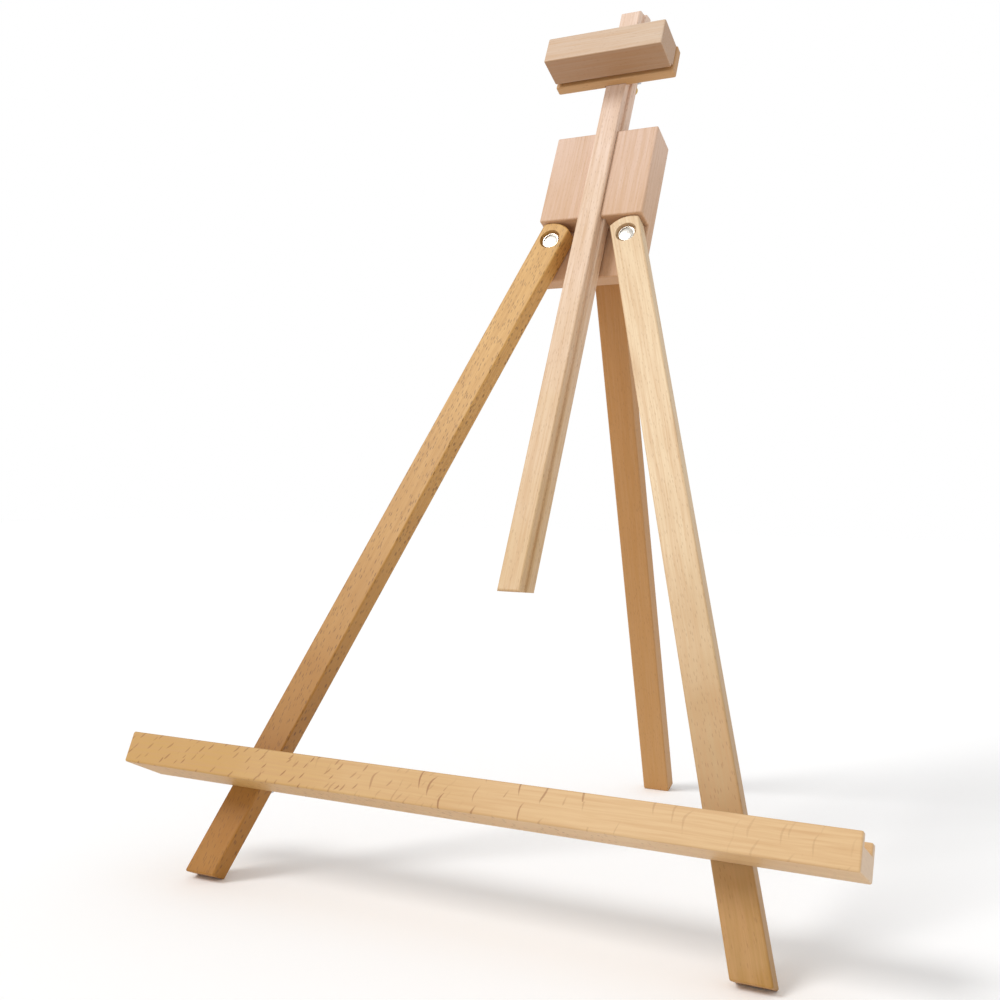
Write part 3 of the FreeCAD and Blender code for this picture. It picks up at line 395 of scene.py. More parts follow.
        kept = tree.add("ShaderNodeMapRange", {"From Min": gone, "From Max": last, "To Min": self.FADED_REST},
                        {"Value": place.outputs["Z"]})
        both = tree.add("ShaderNodeMath", {"operation": "MULTIPLY"},
                        {0: shown.outputs[0], 1: kept.outputs[0]})
        faded = tree.add("ShaderNodeMath", {"operation": "MULTIPLY"},
                         {0: marks.outputs[0], 1: both.outputs[0]})
        return faded.outputs[0]

    def end_grain(self, tree: NodeTree, place: bpy.types.Node,
                  wood: bpy.types.NodeSocket) -> bpy.types.NodeSocket:
        """Darken the sawn ends, where the open pores drink more oil."""
        along = self.turn.to_3x3() @ Vector((0, 0, 1))
        facing = tree.add("ShaderNodeVectorMath", {"operation": "DOT_PRODUCT", 1: along},
                          {0: place.outputs["Normal"]})
        size = tree.add("ShaderNodeMath", {"operation": "ABSOLUTE"}, {0: facing.outputs["Value"]})
        end = tree.add("ShaderNodeMapRange", {"From Min": 0.6, "From Max": 0.95, "To Max": 0.45},
                       {"Value": size.outputs[0]})
        return tree.mix(end.outputs[0], self.end_tone, wood)

    def painted_underside_shade(self, tree: NodeTree, place: bpy.types.Node,
                  wood: bpy.types.NodeSocket) -> bpy.types.NodeSocket:
        """Paint shade onto the faces that look down the easel: a board's lower face, which gets less light,
        is made browner than its front.
        """
        facing = tree.add("ShaderNodeVectorMath", {"operation": "DOT_PRODUCT", 1: self.down},
                          {0: place.outputs["Normal"]})
        under = tree.add("ShaderNodeMapRange", {"From Min": 0.5, "From Max": 0.9, "To Max": self.under_shade_depth},
                         {"Value": facing.outputs["Value"]})
        return tree.mix(under.outputs[0], self.under_shade_tone, wood)

    def surface(self, tree: NodeTree, fibre: bpy.types.NodeSocket, dashes: bpy.types.NodeSocket) -> None:
        """Give the sanded surface its sheen, uneven gloss and fine relief."""
        gloss = tree.add("ShaderNodeMapRange", {"To Min": 0.44, "To Max": 0.62}, {"Value": fibre})
        tree.tree.links.new(gloss.outputs[0], tree.shader.inputs["Roughness"])
        relief = tree.add("ShaderNodeMath", {"operation": "SUBTRACT"}, {0: fibre, 1: dashes})
        bump = tree.add("ShaderNodeBump", {"Strength": 0.35, "Distance": mm(0.12)},
                        {"Height": relief.outputs[0]})
        tree.tree.links.new(bump.outputs[0], tree.shader.inputs["Normal"])
        tree.shader.inputs["IOR"].default_value = 1.46
        tree.shader.inputs["Coat Weight"].default_value = 0.12
        tree.shader.inputs["Coat Roughness"].default_value = 0.32


@dataclass(frozen=True)
class MetalFinish:
    """A plated or turned metal with fine scratches and cloudy gloss.

    Args:
        name: Name of the material.
        colour: Colour of the metal's reflection.
        stain: Colour of its duller patches.
        gloss: Lowest and highest roughness.
        scratch_width: Width of the fine scratches, mm.
        cloud: Size of the duller patches, mm.
    """

    name: str
    colour: str
    stain: str
    gloss: tuple[float, float]
    scratch_width: float = 0.25
    cloud: float = 3.0

    def make(self) -> bpy.types.Material:
        """Build the material."""
        tree = NodeTree(self.name)
        place = tree.add("ShaderNodeTexCoord")
        cloud = tree.add("ShaderNodeTexNoise", {"Scale": 1.0 / mm(self.cloud), "Detail": 4.0},
                         {"Vector": place.outputs["Object"]})
        patch = tree.add("ShaderNodeMapRange", {"From Min": 0.45, "From Max": 0.75},
                         {"Value": cloud.outputs["Fac"]})
        blend = tree.add("ShaderNodeMix", {"data_type": "RGBA", 6: linear(self.colour),
                                           7: linear(self.stain)}, {0: patch.outputs[0]})
        tree.tree.links.new(blend.outputs[2], tree.shader.inputs["Base Color"])
        stretch = tree.add("ShaderNodeMapping", {"Scale": (1.0, 0.12, 0.12)},
                           {"Vector": place.outputs["Object"]})
        scratch = tree.add("ShaderNodeTexNoise", {"Scale": 1.0 / mm(self.scratch_width), "Detail": 2.0},
                           {"Vector": stretch.outputs[0]})
        gloss = tree.add("ShaderNodeMapRange", {"To Min": self.gloss[0], "To Max": self.gloss[1]},
                         {"Value": scratch.outputs["Fac"]})
        tree.tree.links.new(gloss.outputs[0], tree.shader.inputs["Roughness"])
        bump = tree.add("ShaderNodeBump", {"Strength": 0.12, "Distance": mm(0.05)},
                        {"Height": scratch.outputs["Fac"]})
        tree.tree.links.new(bump.outputs[0], tree.shader.inputs["Normal"])
        tree.shader.inputs["Metallic"].default_value = 1.0
        return tree.material


# Nickel plate is warm and mirror bright, so the pivot heads flash white.
NICKEL = MetalFinish("nickel_plated_steel", "#E4DFD6", "#CFC9BF", (0.10, 0.20))
# Bright zinc plate is cooler and a little cloudy, which reads as plain hardware.
ZINC = MetalFinish("bright_zinc_plated_steel", "#C4C7CC", "#A9ABAE", (0.24, 0.38))
# Turned brass is yellow and satin from the tool.
BRASS = MetalFinish("turned_brass", "#D2AE66", "#B98F47", (0.20, 0.34))


def dress(piece: bpy.types.Object, material: bpy.types.Material) -> None:
    """Give a piece one material all over."""
    piece.data.materials.clear()
    piece.data.materials.append(material)


# ---------------------------------------------------------------- modelling helpers

def start_clean() -> None:
    """Leave edit mode and deselect everything."""
    if bpy.context.mode != "OBJECT":
        bpy.ops.object.mode_set(mode="OBJECT")
    bpy.ops.object.select_all(action="DESELECT")


def select_end_face(piece: bpy.types.Object) -> None:
    """Select the face at the top of a turned piece, in edit mode afterwards."""
    bpy.ops.object.mode_set(mode="OBJECT")
    mesh = piece.data
    for item in (*mesh.vertices, *mesh.edges, *mesh.polygons):
        item.select = False
    top = max(mesh.polygons, key=lambda p: (round(p.center.z, 7), p.normal.z))
    top.select = True
    bpy.ops.object.mode_set(mode="EDIT")
    bpy.ops.mesh.select_mode(type="FACE")


def turned(name: str, steps: list[tuple[float, float]], segments: int = 48) -> bpy.types.Object:
    """Turn a piece as on a lathe, from its lowest step to its highest.

    Args:
        name: Name of the piece.
        steps: Radius and height of each shoulder, mm, from the bottom up.
        segments: How many sides the round has.

    Returns:
        The piece, standing along its own z axis.
    """
    start_clean()
    (first, low), (_, high) = steps[0], steps[1]
    bpy.ops.mesh.primitive_cylinder_add(vertices=segments, radius=mm(first), depth=mm(high - low),
                                        location=(0, 0, mm(low + high) / 2))
    piece = bpy.context.active_object
    piece.name = piece.data.name = name
    bpy.ops.object.transform_apply(location=True, rotation=True, scale=True)
    radius = first
    height = high
    select_end_face(piece)
    for next_radius, next_height in steps[1:]:
        if next_height > height + 1e-6 or abs(next_radius - radius) > 1e-6:
            rise = (0, 0, mm(next_height - height))
            bpy.ops.mesh.extrude_region_move(TRANSFORM_OT_translate={"value": rise})
            ratio = next_radius / radius
            bpy.ops.transform.resize(value=(ratio, ratio, 1.0), center_override=(0, 0, mm(next_height)))
        radius, height = next_radius, next_height
    bpy.ops.mesh.select_all(action="SELECT")
    bpy.ops.mesh.remove_doubles(threshold=1e-7)
    bpy.ops.mesh.normals_make_consistent(inside=False)
    bpy.ops.object.mode_set(mode="OBJECT")
    return piece


def dome(radius: float, start: float, rise: float, count: int = 7) -> list[tuple[float, float]]:
    """Steps of a low dome.

    Args:
        radius: Radius at the dome's rim, mm.
        start: Height of the rim, mm.
        rise: Height of the crown above the rim, mm.
        count: How many steps the curve has.

    Returns:
        Radius and height of each step.
    """
    angles = [math.pi / 2 * i / count for i in range(1, count)]
    steps = [(radius * math.cos(a), start + rise * math.sin(a)) for a in angles]
    return steps + [(radius * 0.04, start + rise)]


def cut_away(piece: bpy.types.Object, tool: bpy.types.Object) -> None:
    """Cut a tool's shape out of a piece and delete the tool."""
    start_clean()
    cutter = piece.modifiers.new("cut", "BOOLEAN")
    cutter.operation = "DIFFERENCE"
    cutter.solver = "EXACT"
    cutter.object = tool
    piece.select_set(True)
    bpy.context.view_layer.objects.active = piece
    bpy.ops.object.modifier_apply(modifier=cutter.name)
    bpy.data.objects.remove(tool, do_unlink=True)


def slab(name: str, size: tuple[float, float, float], centre: tuple[float, float, float]) -> bpy.types.Object:
    """Make a block, used as a cutter or as the start of a piece.

    Args:
        name: Name of the block.
        size: Its three sides, mm.
        centre: Its middle, mm.

    Returns:
        The block.
    """
    start_clean()
    bpy.ops.mesh.primitive_cube_add(size=1.0, location=[mm(c) for c in centre], scale=[mm(s) for s in size])
    block = bpy.context.active_object
    block.name = block.data.name = name
    bpy.ops.object.transform_apply(location=True, rotation=True, scale=True)
    return block


def soften(piece: bpy.types.Object, width: float, angle: float = 35.0, segments: int = 3) -> None:
    """Round a piece's sharp edges and shade it smooth."""
    start_clean()
    edge = piece.modifiers.new("soft_edges", "BEVEL")
    edge.width = mm(width)
    edge.segments = segments
    edge.limit_method = "ANGLE"
    edge.angle_limit = math.radians(angle)
    piece.select_set(True)
    bpy.context.view_layer.objects.active = piece
    bpy.ops.object.modifier_apply(modifier=edge.name)
    bpy.ops.object.shade_smooth_by_angle(angle=math.radians(angle))


def join(name: str, pieces: list[bpy.types.Object]) -> bpy.types.Object:
    """Join several meshes into one piece."""
    start_clean()
    for piece in pieces:
        piece.select_set(True)
    bpy.context.view_layer.objects.active = pieces[0]
    if len(pieces) > 1:
        bpy.ops.object.join()
    whole = bpy.context.active_object
    whole.name = whole.data.name = name
    return whole


def settle(piece: bpy.types.Object, place: Matrix) -> None:
    """Move a piece from its bench position to its place, and bake the place into its mesh."""
    start_clean()
    piece.matrix_world = place
    piece.select_set(True)
    bpy.context.view_layer.objects.active = piece
    bpy.ops.object.transform_apply(location=True, rotation=True, scale=True)


# ---------------------------------------------------------------- wooden parts

@dataclass
class WoodenParts:
    """The sanded beech boards of the easel, each cut from a board of its own."""

    lean: LeaningFrame

    FOOT_BAND = 6.0   # mm, height of the points that tell where a leg's foot is

    def leaning_turn(self) -> Matrix:
        """Turn of a board that runs up the easel."""
        return self.lean.matrix().to_3x3()

    def leg_turn(self, joint: str, node: str) -> Matrix:
        """Turn of a leg's board, found from its pivot and its foot.

        Args:
            joint: Name of the leg's joint.
            node: Name of the leg's CAD node.

        Returns:
            The turn whose z runs up the leg and whose y runs backwards through it.
        """
        record = {j["name"]: j for j in frame["joints"]}[joint]
        pivot = Vector(record["pos_m"])
        low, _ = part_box(node)
        points = [v.co for v in frame["nodes"][node].data.vertices if v.co.z < low.z + mm(self.FOOT_BAND)]
        foot = sum(points, Vector()) / len(points)
        up = (pivot - foot).normalized()
        back = self.lean.back if abs(record["axis"][0]) < 0.5 else Vector((0, up.z, -up.y))
        right = back.cross(up).normalized()
        back = up.cross(right).normalized()
        return Matrix((right, back, up)).transposed()

    def board_across(self) -> Matrix:
        """Turn of a board whose grain runs from side to side."""
        return Matrix((self.lean.up, self.lean.back, Vector((-1, 0, 0)))).transposed()

    def middle(self, node: str) -> Vector:
        """Middle of a CAD node's box."""
        low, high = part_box(node)
        return (low + high) / 2

    def finishes(self) -> dict[str, BeechFinish]:
        """Choose each board's own tones and grain.

        The head block, mast and clamp are pale and faintly pink, and the clamp's plate is brown all along.
        Where a board's two tones differ, the change along it is painted light and shade: the head block, the
        mast and both front legs darken towards the foot, the front legs to a golden brown; the right leg
        keeps its pale head tone down to its middle as a painted sheen; the ledge darkens towards its left
        end; and the back leg is brown, partly as painted shade of its place behind the head block, and a
        little darker at its top. The clamp block's underside is painted in shade.
        """
        upright = self.leaning_turn()
        across = self.board_across()
        long_span = (-0.20, 0.16)
        left = self.leg_turn("left_leg_swing", "left_leg")
        right = self.leg_turn("right_leg_swing", "right_leg")
        prop = self.leg_turn("back_leg_fold", "back_leg")
        # Where a board's head and foot tones differ, the change along it is painted light and shade.
        boards = [
            BeechFinish("beech_head_block", upright, "#DABAA4", "#CBA380", (-0.05, 0.05),
                        self.middle("head_block"), (FAINT_DASHES,), (0.03, 0.11)),
            BeechFinish("beech_mast", upright, "#E9CEBB", "#D0AF82", long_span, self.middle("mast"),
                        (DASHES,), (-0.02, 0.07)),
            BeechFinish("beech_left_leg", left, "#D1A25C", "#9F6816", long_span, self.middle("left_leg"),
                        (STRONG_DASHES,), (0.015, 0.06), streak_tone="#A8742F", ray_tone="#6B4216"),
            # Painted light: the right leg's pale head tone reaches down to its middle as a painted sheen, and
            # it darkens to its foot as painted shade.
            BeechFinish("beech_right_leg", right, "#E2C7A0", "#A37630", (-0.24, 0.05),
                        self.middle("right_leg"), (DASHES,), (-0.025, 0.08)),
            # Painted shade: the back leg is kept brown and a little darker at its top, where it stands in
            # shade behind the head block.
            BeechFinish("beech_back_leg", prop, "#B37E43", "#B8874C", long_span, self.middle("back_leg"),
                        (DASHES,), (0.02, -0.07)),
            BeechFinish("beech_ledge", across, "#C09450", "#D6B282", (-0.10, 0.16), self.middle("ledge"),
                        (SHORT_FLAKES, LONG_FLAKES), (0.07, 0.01), end_tone="#D2BEAC", ray_tone="#8A5426"),
            # Painted shade: the clamp block's underside is tinted dark brown where little light reaches it.
            BeechFinish("beech_clamp_block", across, "#CDB197", "#D0B8A0", (-0.04, 0.04),
                        self.middle("clamp_block"), (FAINT_DASHES,), (0.02, 0.09), end_tone="#946238",
                        under_shade_tone="#885414", under_shade_depth=0.66),
            BeechFinish("beech_clamp_plate", across, "#B88B58", "#BC9060", (-0.04, 0.04),
                        self.middle("clamp_plate"), (DASHES,), (0.03, 0.07)),
        ]
        return {board.name.removeprefix("beech_"): board for board in boards}

    def build(self) -> None:
        """Dress every wooden CAD node."""
        for node, finish in self.finishes().items():
            dress(frame["nodes"][node], finish.make())
            LOG.info("%s dressed in %s", node, finish.name)


# ---------------------------------------------------------------- hardware

@dataclass
class Hardware:
    """Base of the metal sub-assemblies: where they go, and what they are made of."""

    lean: LeaningFrame
    metals: dict[Slot, bpy.types.Material]

    def finish(self, piece: bpy.types.Object, body: str, slot: Slot, *nodes: str) -> None:
        """Dress a piece, let it ride on its body and stand for its CAD nodes.

        Args:
            piece: The finished mesh, in place.
            body: The body that it rides on.
            slot: The material slot that it takes its finish from.
            *nodes: The CAD nodes that it stands for.
        """
        dress(piece, self.metals[slot])
        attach(piece, body)
        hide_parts(*nodes)
        LOG.info("%s rides on %s", piece.name, body)

    def looking_forward(self, x: float, y: float, z: float) -> Matrix:
        """Place a turned piece whose own z axis points out of the easel's front, lengths in metres."""
        turn = Matrix(((1, 0, 0), (0, 0, -1), (0, 1, 0))).to_4x4()
        return self.lean.matrix() @ Matrix.Translation((x, y, z)) @ turn

    def looking_back(self, x: float, y: float, z: float) -> Matrix:
        """Place a turned piece whose own z axis points out of the easel's back, lengths in metres."""
        turn = Matrix(((1, 0, 0), (0, 0, 1), (0, -1, 0))).to_4x4()
        return self.lean.matrix() @ Matrix.Translation((x, y, z)) @ turn


@dataclass
class LegPivots(Hardware):
    """Capped posts in the front of the legs and the screws that go into them from behind."""

    head_radius: float = 5.75
    head_thick: float = 1.8
    barrel_radius: float = 3.0
    rim: float = 0.35
    groove: float = 0.9
    cap_rise: float = 0.25

    def post(self, side: str) -> None:
        """Make one post: a barrel through the leg, and a rim round a bright, almost flat cap."""
        low, high = self.lean.extent(f"{side}_pivot_post")
        length = in_mm(high.y - low.y)
        head = length - self.head_thick
        rim_inside = self.head_radius - self.rim * 1.6
        steps = [(self.barrel_radius, 0.0), (self.barrel_radius, head), (self.head_radius - self.rim, head),
                 (self.head_radius, head + self.rim), (self.head_radius, length - self.rim),
                 (self.head_radius - self.rim * 0.6, length), (rim_inside, length),
                 (rim_inside - 0.1, length - self.groove), (rim_inside - 0.35, length - self.groove)]
        cap_radius = rim_inside - 0.4
        steps += dome(cap_radius, length - self.cap_rise, self.cap_rise)
        piece = turned(f"{side}_pivot_cap", steps, 64)
        bpy.ops.object.shade_smooth_by_angle(angle=math.radians(40.0))
        middle = (low + high) / 2
        settle(piece, self.looking_forward(middle.x, high.y, middle.z))
        self.finish(piece, "head", Slot.NICKEL, f"{side}_pivot_post")

    def screw(self, side: str) -> None:
        """Make one screw with a domed, cross-recessed head behind the plate."""
        low, high = self.lean.extent(f"{side}_pivot_screw")
        length = in_mm(high.y - low.y)
        under = length - self.head_thick
        steps = [(1.6, 0.0), (2.0, 0.6)]
        steps += threads(2.0, 0.6, under, 0.7)
        steps += [(self.head_radius, under), (self.head_radius, under + 0.5)]
        steps += dome(self.head_radius, under + 0.5, self.head_thick - 0.5)
        piece = turned(f"{side}_pivot_back_screw", steps, 48)
        cross_recess(piece, length, 3.6, 1.0)
        bpy.ops.object.shade_smooth_by_angle(angle=math.radians(40.0))
        middle = (low + high) / 2
        settle(piece, self.looking_back(middle.x, low.y, middle.z))
        self.finish(piece, "head", Slot.NICKEL, f"{side}_pivot_screw")

    def build(self) -> None:
        """Make both pivots."""
        for side in ("left", "right"):
            self.post(side)
            self.screw(side)
            dress(frame["nodes"][f"{side}_pivot_washer"], self.metals[Slot.NICKEL])


def threads(radius: float, start: float, end: float, pitch: float) -> list[tuple[float, float]]:
    """Steps of a threaded length, drawn as one ridge to each turn.

    Args:
        radius: Radius over the crests, mm.
        start: Height where the thread begins, mm.
        end: Height where it ends, mm.
        pitch: Distance from crest to crest, mm.

    Returns:
        Radius and height of each step.
    """
    count = max(1, int((end - start) / pitch))
    steps = []
    for i in range(count):
        base = start + i * pitch
        steps += [(radius - pitch * 0.45, base + pitch * 0.3), (radius, base + pitch * 0.75)]
    return steps + [(radius, end)]


def cross_recess(piece: bpy.types.Object, top: float, reach: float, depth: float) -> None:
    """Sink a cross for the screwdriver into the top of a screw.

    Args:
        piece: The screw, standing on its own z axis.
        top: Height of its head's top, mm.
        reach: Length of each of the cross's two slots, mm.
        depth: How deep the cross goes, mm.
    """
    width = reach * 0.24
    for size in ((reach, width, depth * 2), (width, reach, depth * 2)):
        cut_away(piece, slab("driver", size, (0, 0, top)))


@dataclass
class WoodScrews(Hardware):
    """Countersunk cross-head wood screws of the hinge, the clamp and its stirrup."""

    shank: float = 1.4
    head: float = 2.8
    sink: float = 1.35
    first_spin: float = 0.4
    next_spin: float = 0.9

    def screw(self, name: str, length: float) -> bpy.types.Object:
        """Turn one screw, its head up, with its flat at height 0."""
        steps = [(0.25, -length), (self.shank * 0.7, -length + 1.8)]
        steps += threads(self.shank, -length + 1.8, -self.sink - 0.3, 1.1)
        steps += [(self.shank, -self.sink), (self.head, -0.12), (self.head, -0.02), (self.head - 0.05, 0.0)]
        piece = turned(name, steps, 28)
        cross_recess(piece, 0.0, 2.6, 0.7)
        bpy.ops.object.shade_smooth_by_angle(angle=math.radians(32.0))
        return piece

    def replace_node(self, node: str, body: str, out: Vector) -> None:
        """Put screws where a CAD node holds them.

        Args:
            node: CAD node whose loose parts are the screws.
            body: The body that they ride on.
            out: Direction that the heads face.
        """
        copies = []
        for points in loose_parts(frame["nodes"][node]):
            depth = [p.dot(out) for p in points]
            rim = [p for p, d in zip(points, depth) if d > max(depth) - mm(0.02)]
            centre = sum(rim, Vector()) / len(rim)
            piece = self.screw(f"{node}_{len(copies)}", in_mm(max(depth) - min(depth)))
            turn = out.to_track_quat("Z", "Y").to_matrix().to_4x4()
            spin = Matrix.Rotation(self.next_spin * len(copies) + self.first_spin, 4, "Z")
            settle(piece, Matrix.Translation(centre) @ turn @ spin)
            copies.append(piece)
        self.finish(join(f"{node}_set", copies), body, Slot.ZINC, node)

    def build(self) -> None:
        """Replace every set of wood screws."""
        back = self.lean.back
        leg = WoodenParts(self.lean).leg_turn("back_leg_fold", "back_leg")
        self.replace_node("hinge_head_screws", "head", back)
        self.replace_node("clamp_screws", "clamp", back)
        self.replace_node("stirrup_screws", "clamp", back)
        self.replace_node("hinge_leg_screws", "back_leg", -(leg @ Vector((0, 1, 0))))


def loose_parts(node: bpy.types.Object) -> list[list[Vector]]:
    """Split a CAD node's points into its separate solids.

    Args:
        node: The CAD node's object.

    Returns:
        The points of each solid, ordered from left to right and from low to high.
    """
    mesh = node.data
    places = [tuple(round(c, 6) for c in v.co) for v in mesh.vertices]
    group = {place: place for place in places}

    def root(place: tuple) -> tuple:
        """Find the group that a point belongs to."""
        while group[place] != place:
            group[place] = group[group[place]]
            place = group[place]
        return place

    for face in mesh.polygons:
        first = root(places[face.vertices[0]])
        for index in face.vertices[1:]:
            group[root(places[index])] = first
    parts: dict[tuple, list[Vector]] = {}
    for place in set(places):
        parts.setdefault(root(place), []).append(Vector(place))
    return sorted(parts.values(), key=lambda points: (round(sum(p.x for p in points) / len(points), 4),
                                                      min(p.z for p in points)))


@dataclass
class WingScrews(Hardware):
    """Cast wing screws: one behind the head block and one behind each front leg."""

    thread: float = 3.0
    hub: float = 5.5
    hub_long: float = 8.0
    crown: float = 1.5
    wing_thick: float = 2.6
    wing_radius: float = 5.3
    wing_middle: float = 8.6
    wing_rise: float = 5.0

    def wing(self, side: int) -> bpy.types.Object:
        """Model one wing: a rounded ear beside the hub's end, thicker at its root."""
        start_clean()
        bpy.ops.mesh.primitive_cylinder_add(vertices=40, radius=mm(self.wing_radius),
                                            depth=mm(self.wing_thick), rotation=(math.pi / 2, 0, 0),
                                            location=(mm(self.wing_middle * side), 0,
                                                      mm(self.hub_long * 0.5 + 3.0)))
        ear = bpy.context.active_object
        bpy.ops.object.transform_apply(location=True, rotation=True, scale=True)
        root = slab("root", (8.0, self.wing_thick + 0.8, 6.4), (4.6 * side, 0, self.hub_long * 0.5 + 0.3))
        for part in (ear, root):
            soften(part, 0.7)
        return join("wing", [ear, root])

    def screw(self, node: str, name: str, body: str) -> None:
        """Make one wing screw in place of its CAD node."""
        low, high = self.lean.extent(node)
        middle = (low + high) / 2
        total = in_mm(high.y - low.y)
        seat = total - self.hub_long - self.wing_rise
        steps = [(self.thread - 0.6, 0.0), (self.thread, 0.8)]
        steps += threads(self.thread, 0.8, seat - 0.6, 1.0)
        hub_end = seat + self.hub_long
        steps += [(self.hub - 0.5, seat), (self.hub, seat + 0.5), (self.hub, seat + self.hub_long * 0.55),
                  (self.hub - 0.6, hub_end), (self.hub - 1.6, hub_end + self.crown * 0.7),
                  (self.hub - 2.6, hub_end + self.crown)]
        shaft = turned(name, steps, 40)
        bpy.ops.object.shade_smooth_by_angle(angle=math.radians(38.0))
        wings = []
        for side in (-1, 1):
            wing = self.wing(side)
            settle(wing, Matrix.Translation((0, 0, mm(seat))))
            wings.append(wing)
        piece = join(name, [shaft, *wings])
        settle(piece, self.looking_back(middle.x, low.y, middle.z))
        self.finish(piece, body, Slot.ZINC, node)

    def build(self) -> None:
        """Make the three wing screws and dress the washers and inserts that they go with."""
        self.screw("mast_lock_screw", "mast_lock_wing", "mast_lock")
        self.screw("left_ledge_screw", "left_ledge_wing", "left_wing")
        self.screw("right_ledge_screw", "right_ledge_wing", "right_wing")
        for side in ("left", "right"):
            dress(frame["nodes"][f"{side}_ledge_washer"], self.metals[Slot.ZINC])
            dress(frame["nodes"][f"{side}_ledge_insert"], self.metals[Slot.BRASS])
        dress(frame["nodes"]["mast_lock_insert"], self.metals[Slot.BRASS])


@dataclass
class ClampHardware(Hardware):
    """Stirrup behind the clamp, with its nut and knurled lock screw."""

    thread: float = 2.0
    head: float = 4.5
    head_long: float = 6.8
    teeth: int = 36
    tooth_root: float = 0.93

    def lock_screw(self) -> None:
        """Make the knurled screw: a ridged head on a threaded shank."""
        low, high = self.lean.extent("clamp_lock_screw")
        middle = (low + high) / 2
        total = in_mm(high.y - low.y)
        seat = total - self.head_long
        steps = [(self.thread - 0.5, 0.0), (self.thread, 0.5)]
        steps += threads(self.thread, 0.5, seat - 0.4, 0.7)
        steps += [(self.head - 0.9, seat), (self.head, seat + 0.7), (self.head, total - 1.0),
                  (self.head - 0.9, total), (self.head - 2.4, total), (self.head - 2.8, total - 0.5)]
        piece = turned("clamp_knurled_screw", steps, self.teeth * 2)
        rim = self.head - 0.05
        for vertex in piece.data.vertices:
            radius = in_mm(math.hypot(vertex.co.x, vertex.co.y))
            turn = math.atan2(vertex.co.y, vertex.co.x) * self.teeth / math.tau
            if radius > rim and abs(turn - round(turn)) > 0.25:
                vertex.co.x *= self.tooth_root
                vertex.co.y *= self.tooth_root
        bpy.ops.object.shade_smooth_by_angle(angle=math.radians(25.0))
        settle(piece, self.looking_back(middle.x, low.y, middle.z))
        self.finish(piece, "clamp_lock", Slot.BRASS, "clamp_lock_screw")

    def build(self) -> None:
        """Make the lock screw and dress the stirrup and its nut."""
        self.lock_screw()
        dress(frame["nodes"]["clamp_stirrup"], self.metals[Slot.ZINC])
        dress(frame["nodes"]["clamp_lock_nut"], self.metals[Slot.BRASS])


@dataclass
class BackHinge(Hardware):
    """Butt hinge of the back leg."""

    pin_radius: float = 1.25

    def build(self) -> None:
        """Make the pin with its rounded ends and dress both leaves."""
        low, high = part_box("hinge_pin")
        length = in_mm(high.x - low.x)
        steps = [(self.pin_radius * 0.6, 0.0), (self.pin_radius, 0.35), (self.pin_radius, length - 0.35),
                 (self.pin_radius * 0.6, length)]
        pin = turned("hinge_pin_rod", steps, 32)
        bpy.ops.object.shade_smooth_by_angle(angle=math.radians(40.0))
        middle = (low + high) / 2
        turn = Matrix.Rotation(math.pi / 2, 4, "Y")
        settle(pin, Matrix.Translation((low.x, middle.y, middle.z)) @ turn)
        self.finish(pin, "head", Slot.ZINC, "hinge_pin")
        for leaf in ("hinge_head_leaf", "hinge_leg_leaf"):
            dress(frame["nodes"][leaf], self.metals[Slot.ZINC])


# ---------------------------------------------------------------- studio

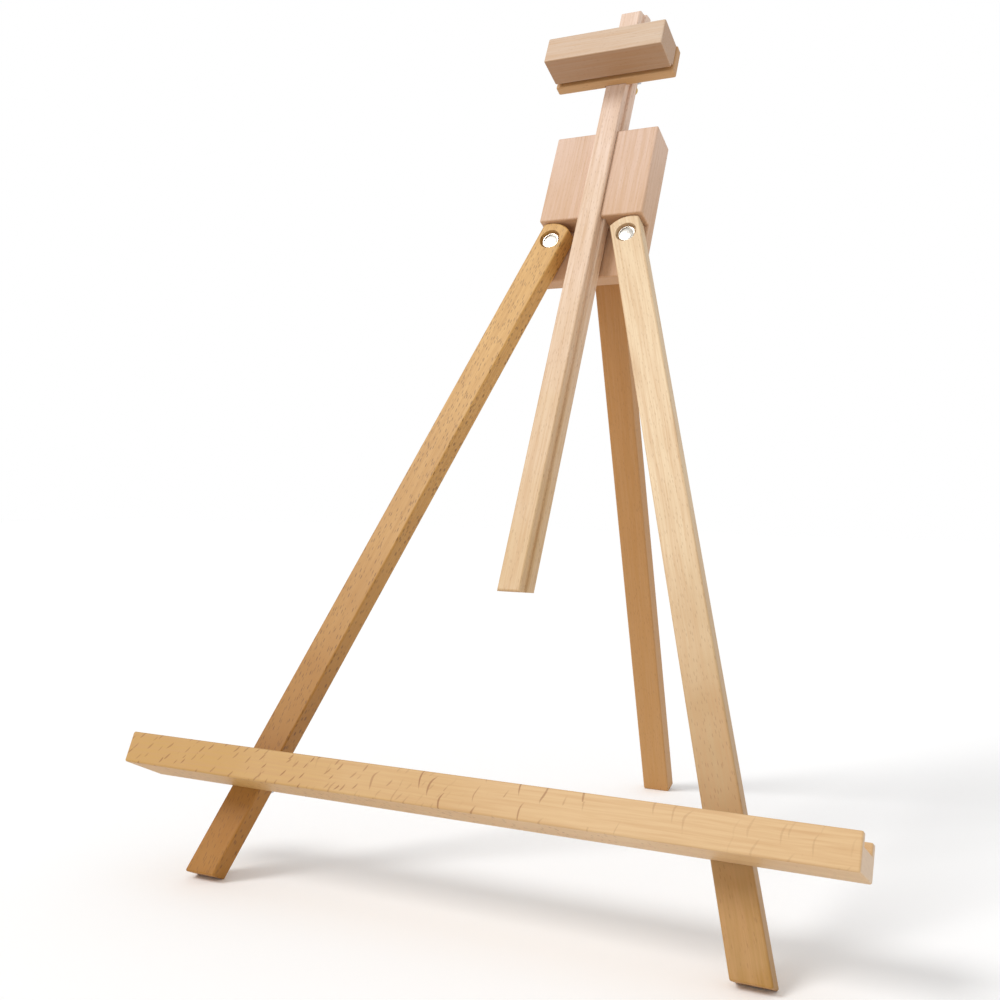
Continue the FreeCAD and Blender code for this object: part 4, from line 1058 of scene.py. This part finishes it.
@dataclass
class Studio:
    """Pale plain floor, soft light from the upper left, and the camera."""

    camera_place: tuple[float, float, float] = (0.3091, -0.7214, 0.2358)
    azimuth: float = 26.82
    elevation: float = -0.44
    roll: float = 0.69
    lens: float = 42.5
    floor_tone: str = "#FDFDFD"
    floor_side: float = 12.0
    ambient: float = 0.74
    key_place: tuple[float, float, float] = (-1.3, -1.5, 1.9)
    key_power: float = 1.4
    key_softness: float = 22.0

    def floor(self) -> None:
        """Lay a wide, flat floor of matt white paper."""
        start_clean()
        bpy.ops.mesh.primitive_plane_add(size=self.floor_side, location=(0, 0, 0))
        floor = bpy.context.active_object
        floor.name = "studio_floor"
        tree = NodeTree("matt_paper_floor")
        place = tree.add("ShaderNodeTexCoord")
        tooth = tree.add("ShaderNodeTexNoise", {"Scale": 1.0 / mm(4.0), "Detail": 3.0},
                         {"Vector": place.outputs["Object"]})
        rough = tree.add("ShaderNodeMapRange", {"To Min": 0.80, "To Max": 0.95},
                         {"Value": tooth.outputs["Fac"]})
        tree.tree.links.new(rough.outputs[0], tree.shader.inputs["Roughness"])
        tree.shader.inputs["Base Color"].default_value = linear(self.floor_tone)
        dress(floor, tree.material)

    def key_light(self) -> None:
        """Light the easel evenly from the upper left, as one very large and distant softbox would."""
        start_clean()
        bpy.ops.object.light_add(type="SUN", location=self.key_place)
        light = bpy.context.active_object
        light.name = light.data.name = "key_softbox"
        light.data.angle = math.radians(self.key_softness)
        light.data.energy = self.key_power
        light.rotation_euler = (-Vector(self.key_place)).to_track_quat("-Z", "Y").to_euler()

    def surroundings(self) -> None:
        """Surround the easel with dim soft light, and show plain white behind it."""
        world = bpy.data.worlds.new("studio_world")
        world.use_nodes = True
        tree = world.node_tree
        soft = tree.nodes["Background"]
        soft.inputs["Color"].default_value = linear("#FFFFFF")
        soft.inputs["Strength"].default_value = self.ambient
        backdrop = tree.nodes.new("ShaderNodeBackground")
        backdrop.inputs["Color"].default_value = linear("#FFFFFF")
        seen = tree.nodes.new("ShaderNodeLightPath")
        choose = tree.nodes.new("ShaderNodeMixShader")
        tree.links.new(seen.outputs["Is Camera Ray"], choose.inputs[0])
        tree.links.new(soft.outputs[0], choose.inputs[1])
        tree.links.new(backdrop.outputs[0], choose.inputs[2])
        tree.links.new(choose.outputs[0], tree.nodes["World Output"].inputs["Surface"])
        bpy.context.scene.world = world
        bpy.context.scene.view_settings.view_transform = "Standard"

    def camera(self) -> None:
        """Set up the camera."""
        start_clean()
        bpy.ops.object.camera_add(location=self.camera_place)
        camera = bpy.context.active_object
        camera.data.lens = self.lens
        camera.data.clip_start = 0.05
        turn = Euler((math.radians(90.0 + self.elevation), 0.0, math.radians(self.azimuth))).to_matrix()
        camera.rotation_euler = (turn @ Matrix.Rotation(math.radians(self.roll), 3, "Z")).to_euler()
        bpy.context.scene.camera = camera

    def build(self) -> None:
        """Set up the whole studio."""
        self.floor()
        self.key_light()
        self.surroundings()
        self.camera()


def main() -> None:
    """Dress the easel, build its hardware and set up the studio."""
    logging.basicConfig(level=logging.INFO, format="%(name)s: %(message)s")
    lean = LeaningFrame.from_joints()
    metals = {Slot.NICKEL: NICKEL.make(), Slot.ZINC: ZINC.make(), Slot.BRASS: BRASS.make()}
    WoodenParts(lean).build()
    for assembly in (LegPivots, WoodScrews, WingScrews, ClampHardware, BackHinge):
        assembly(lean, metals).build()
    Studio().build()


if __name__ == "__main__":
    main()
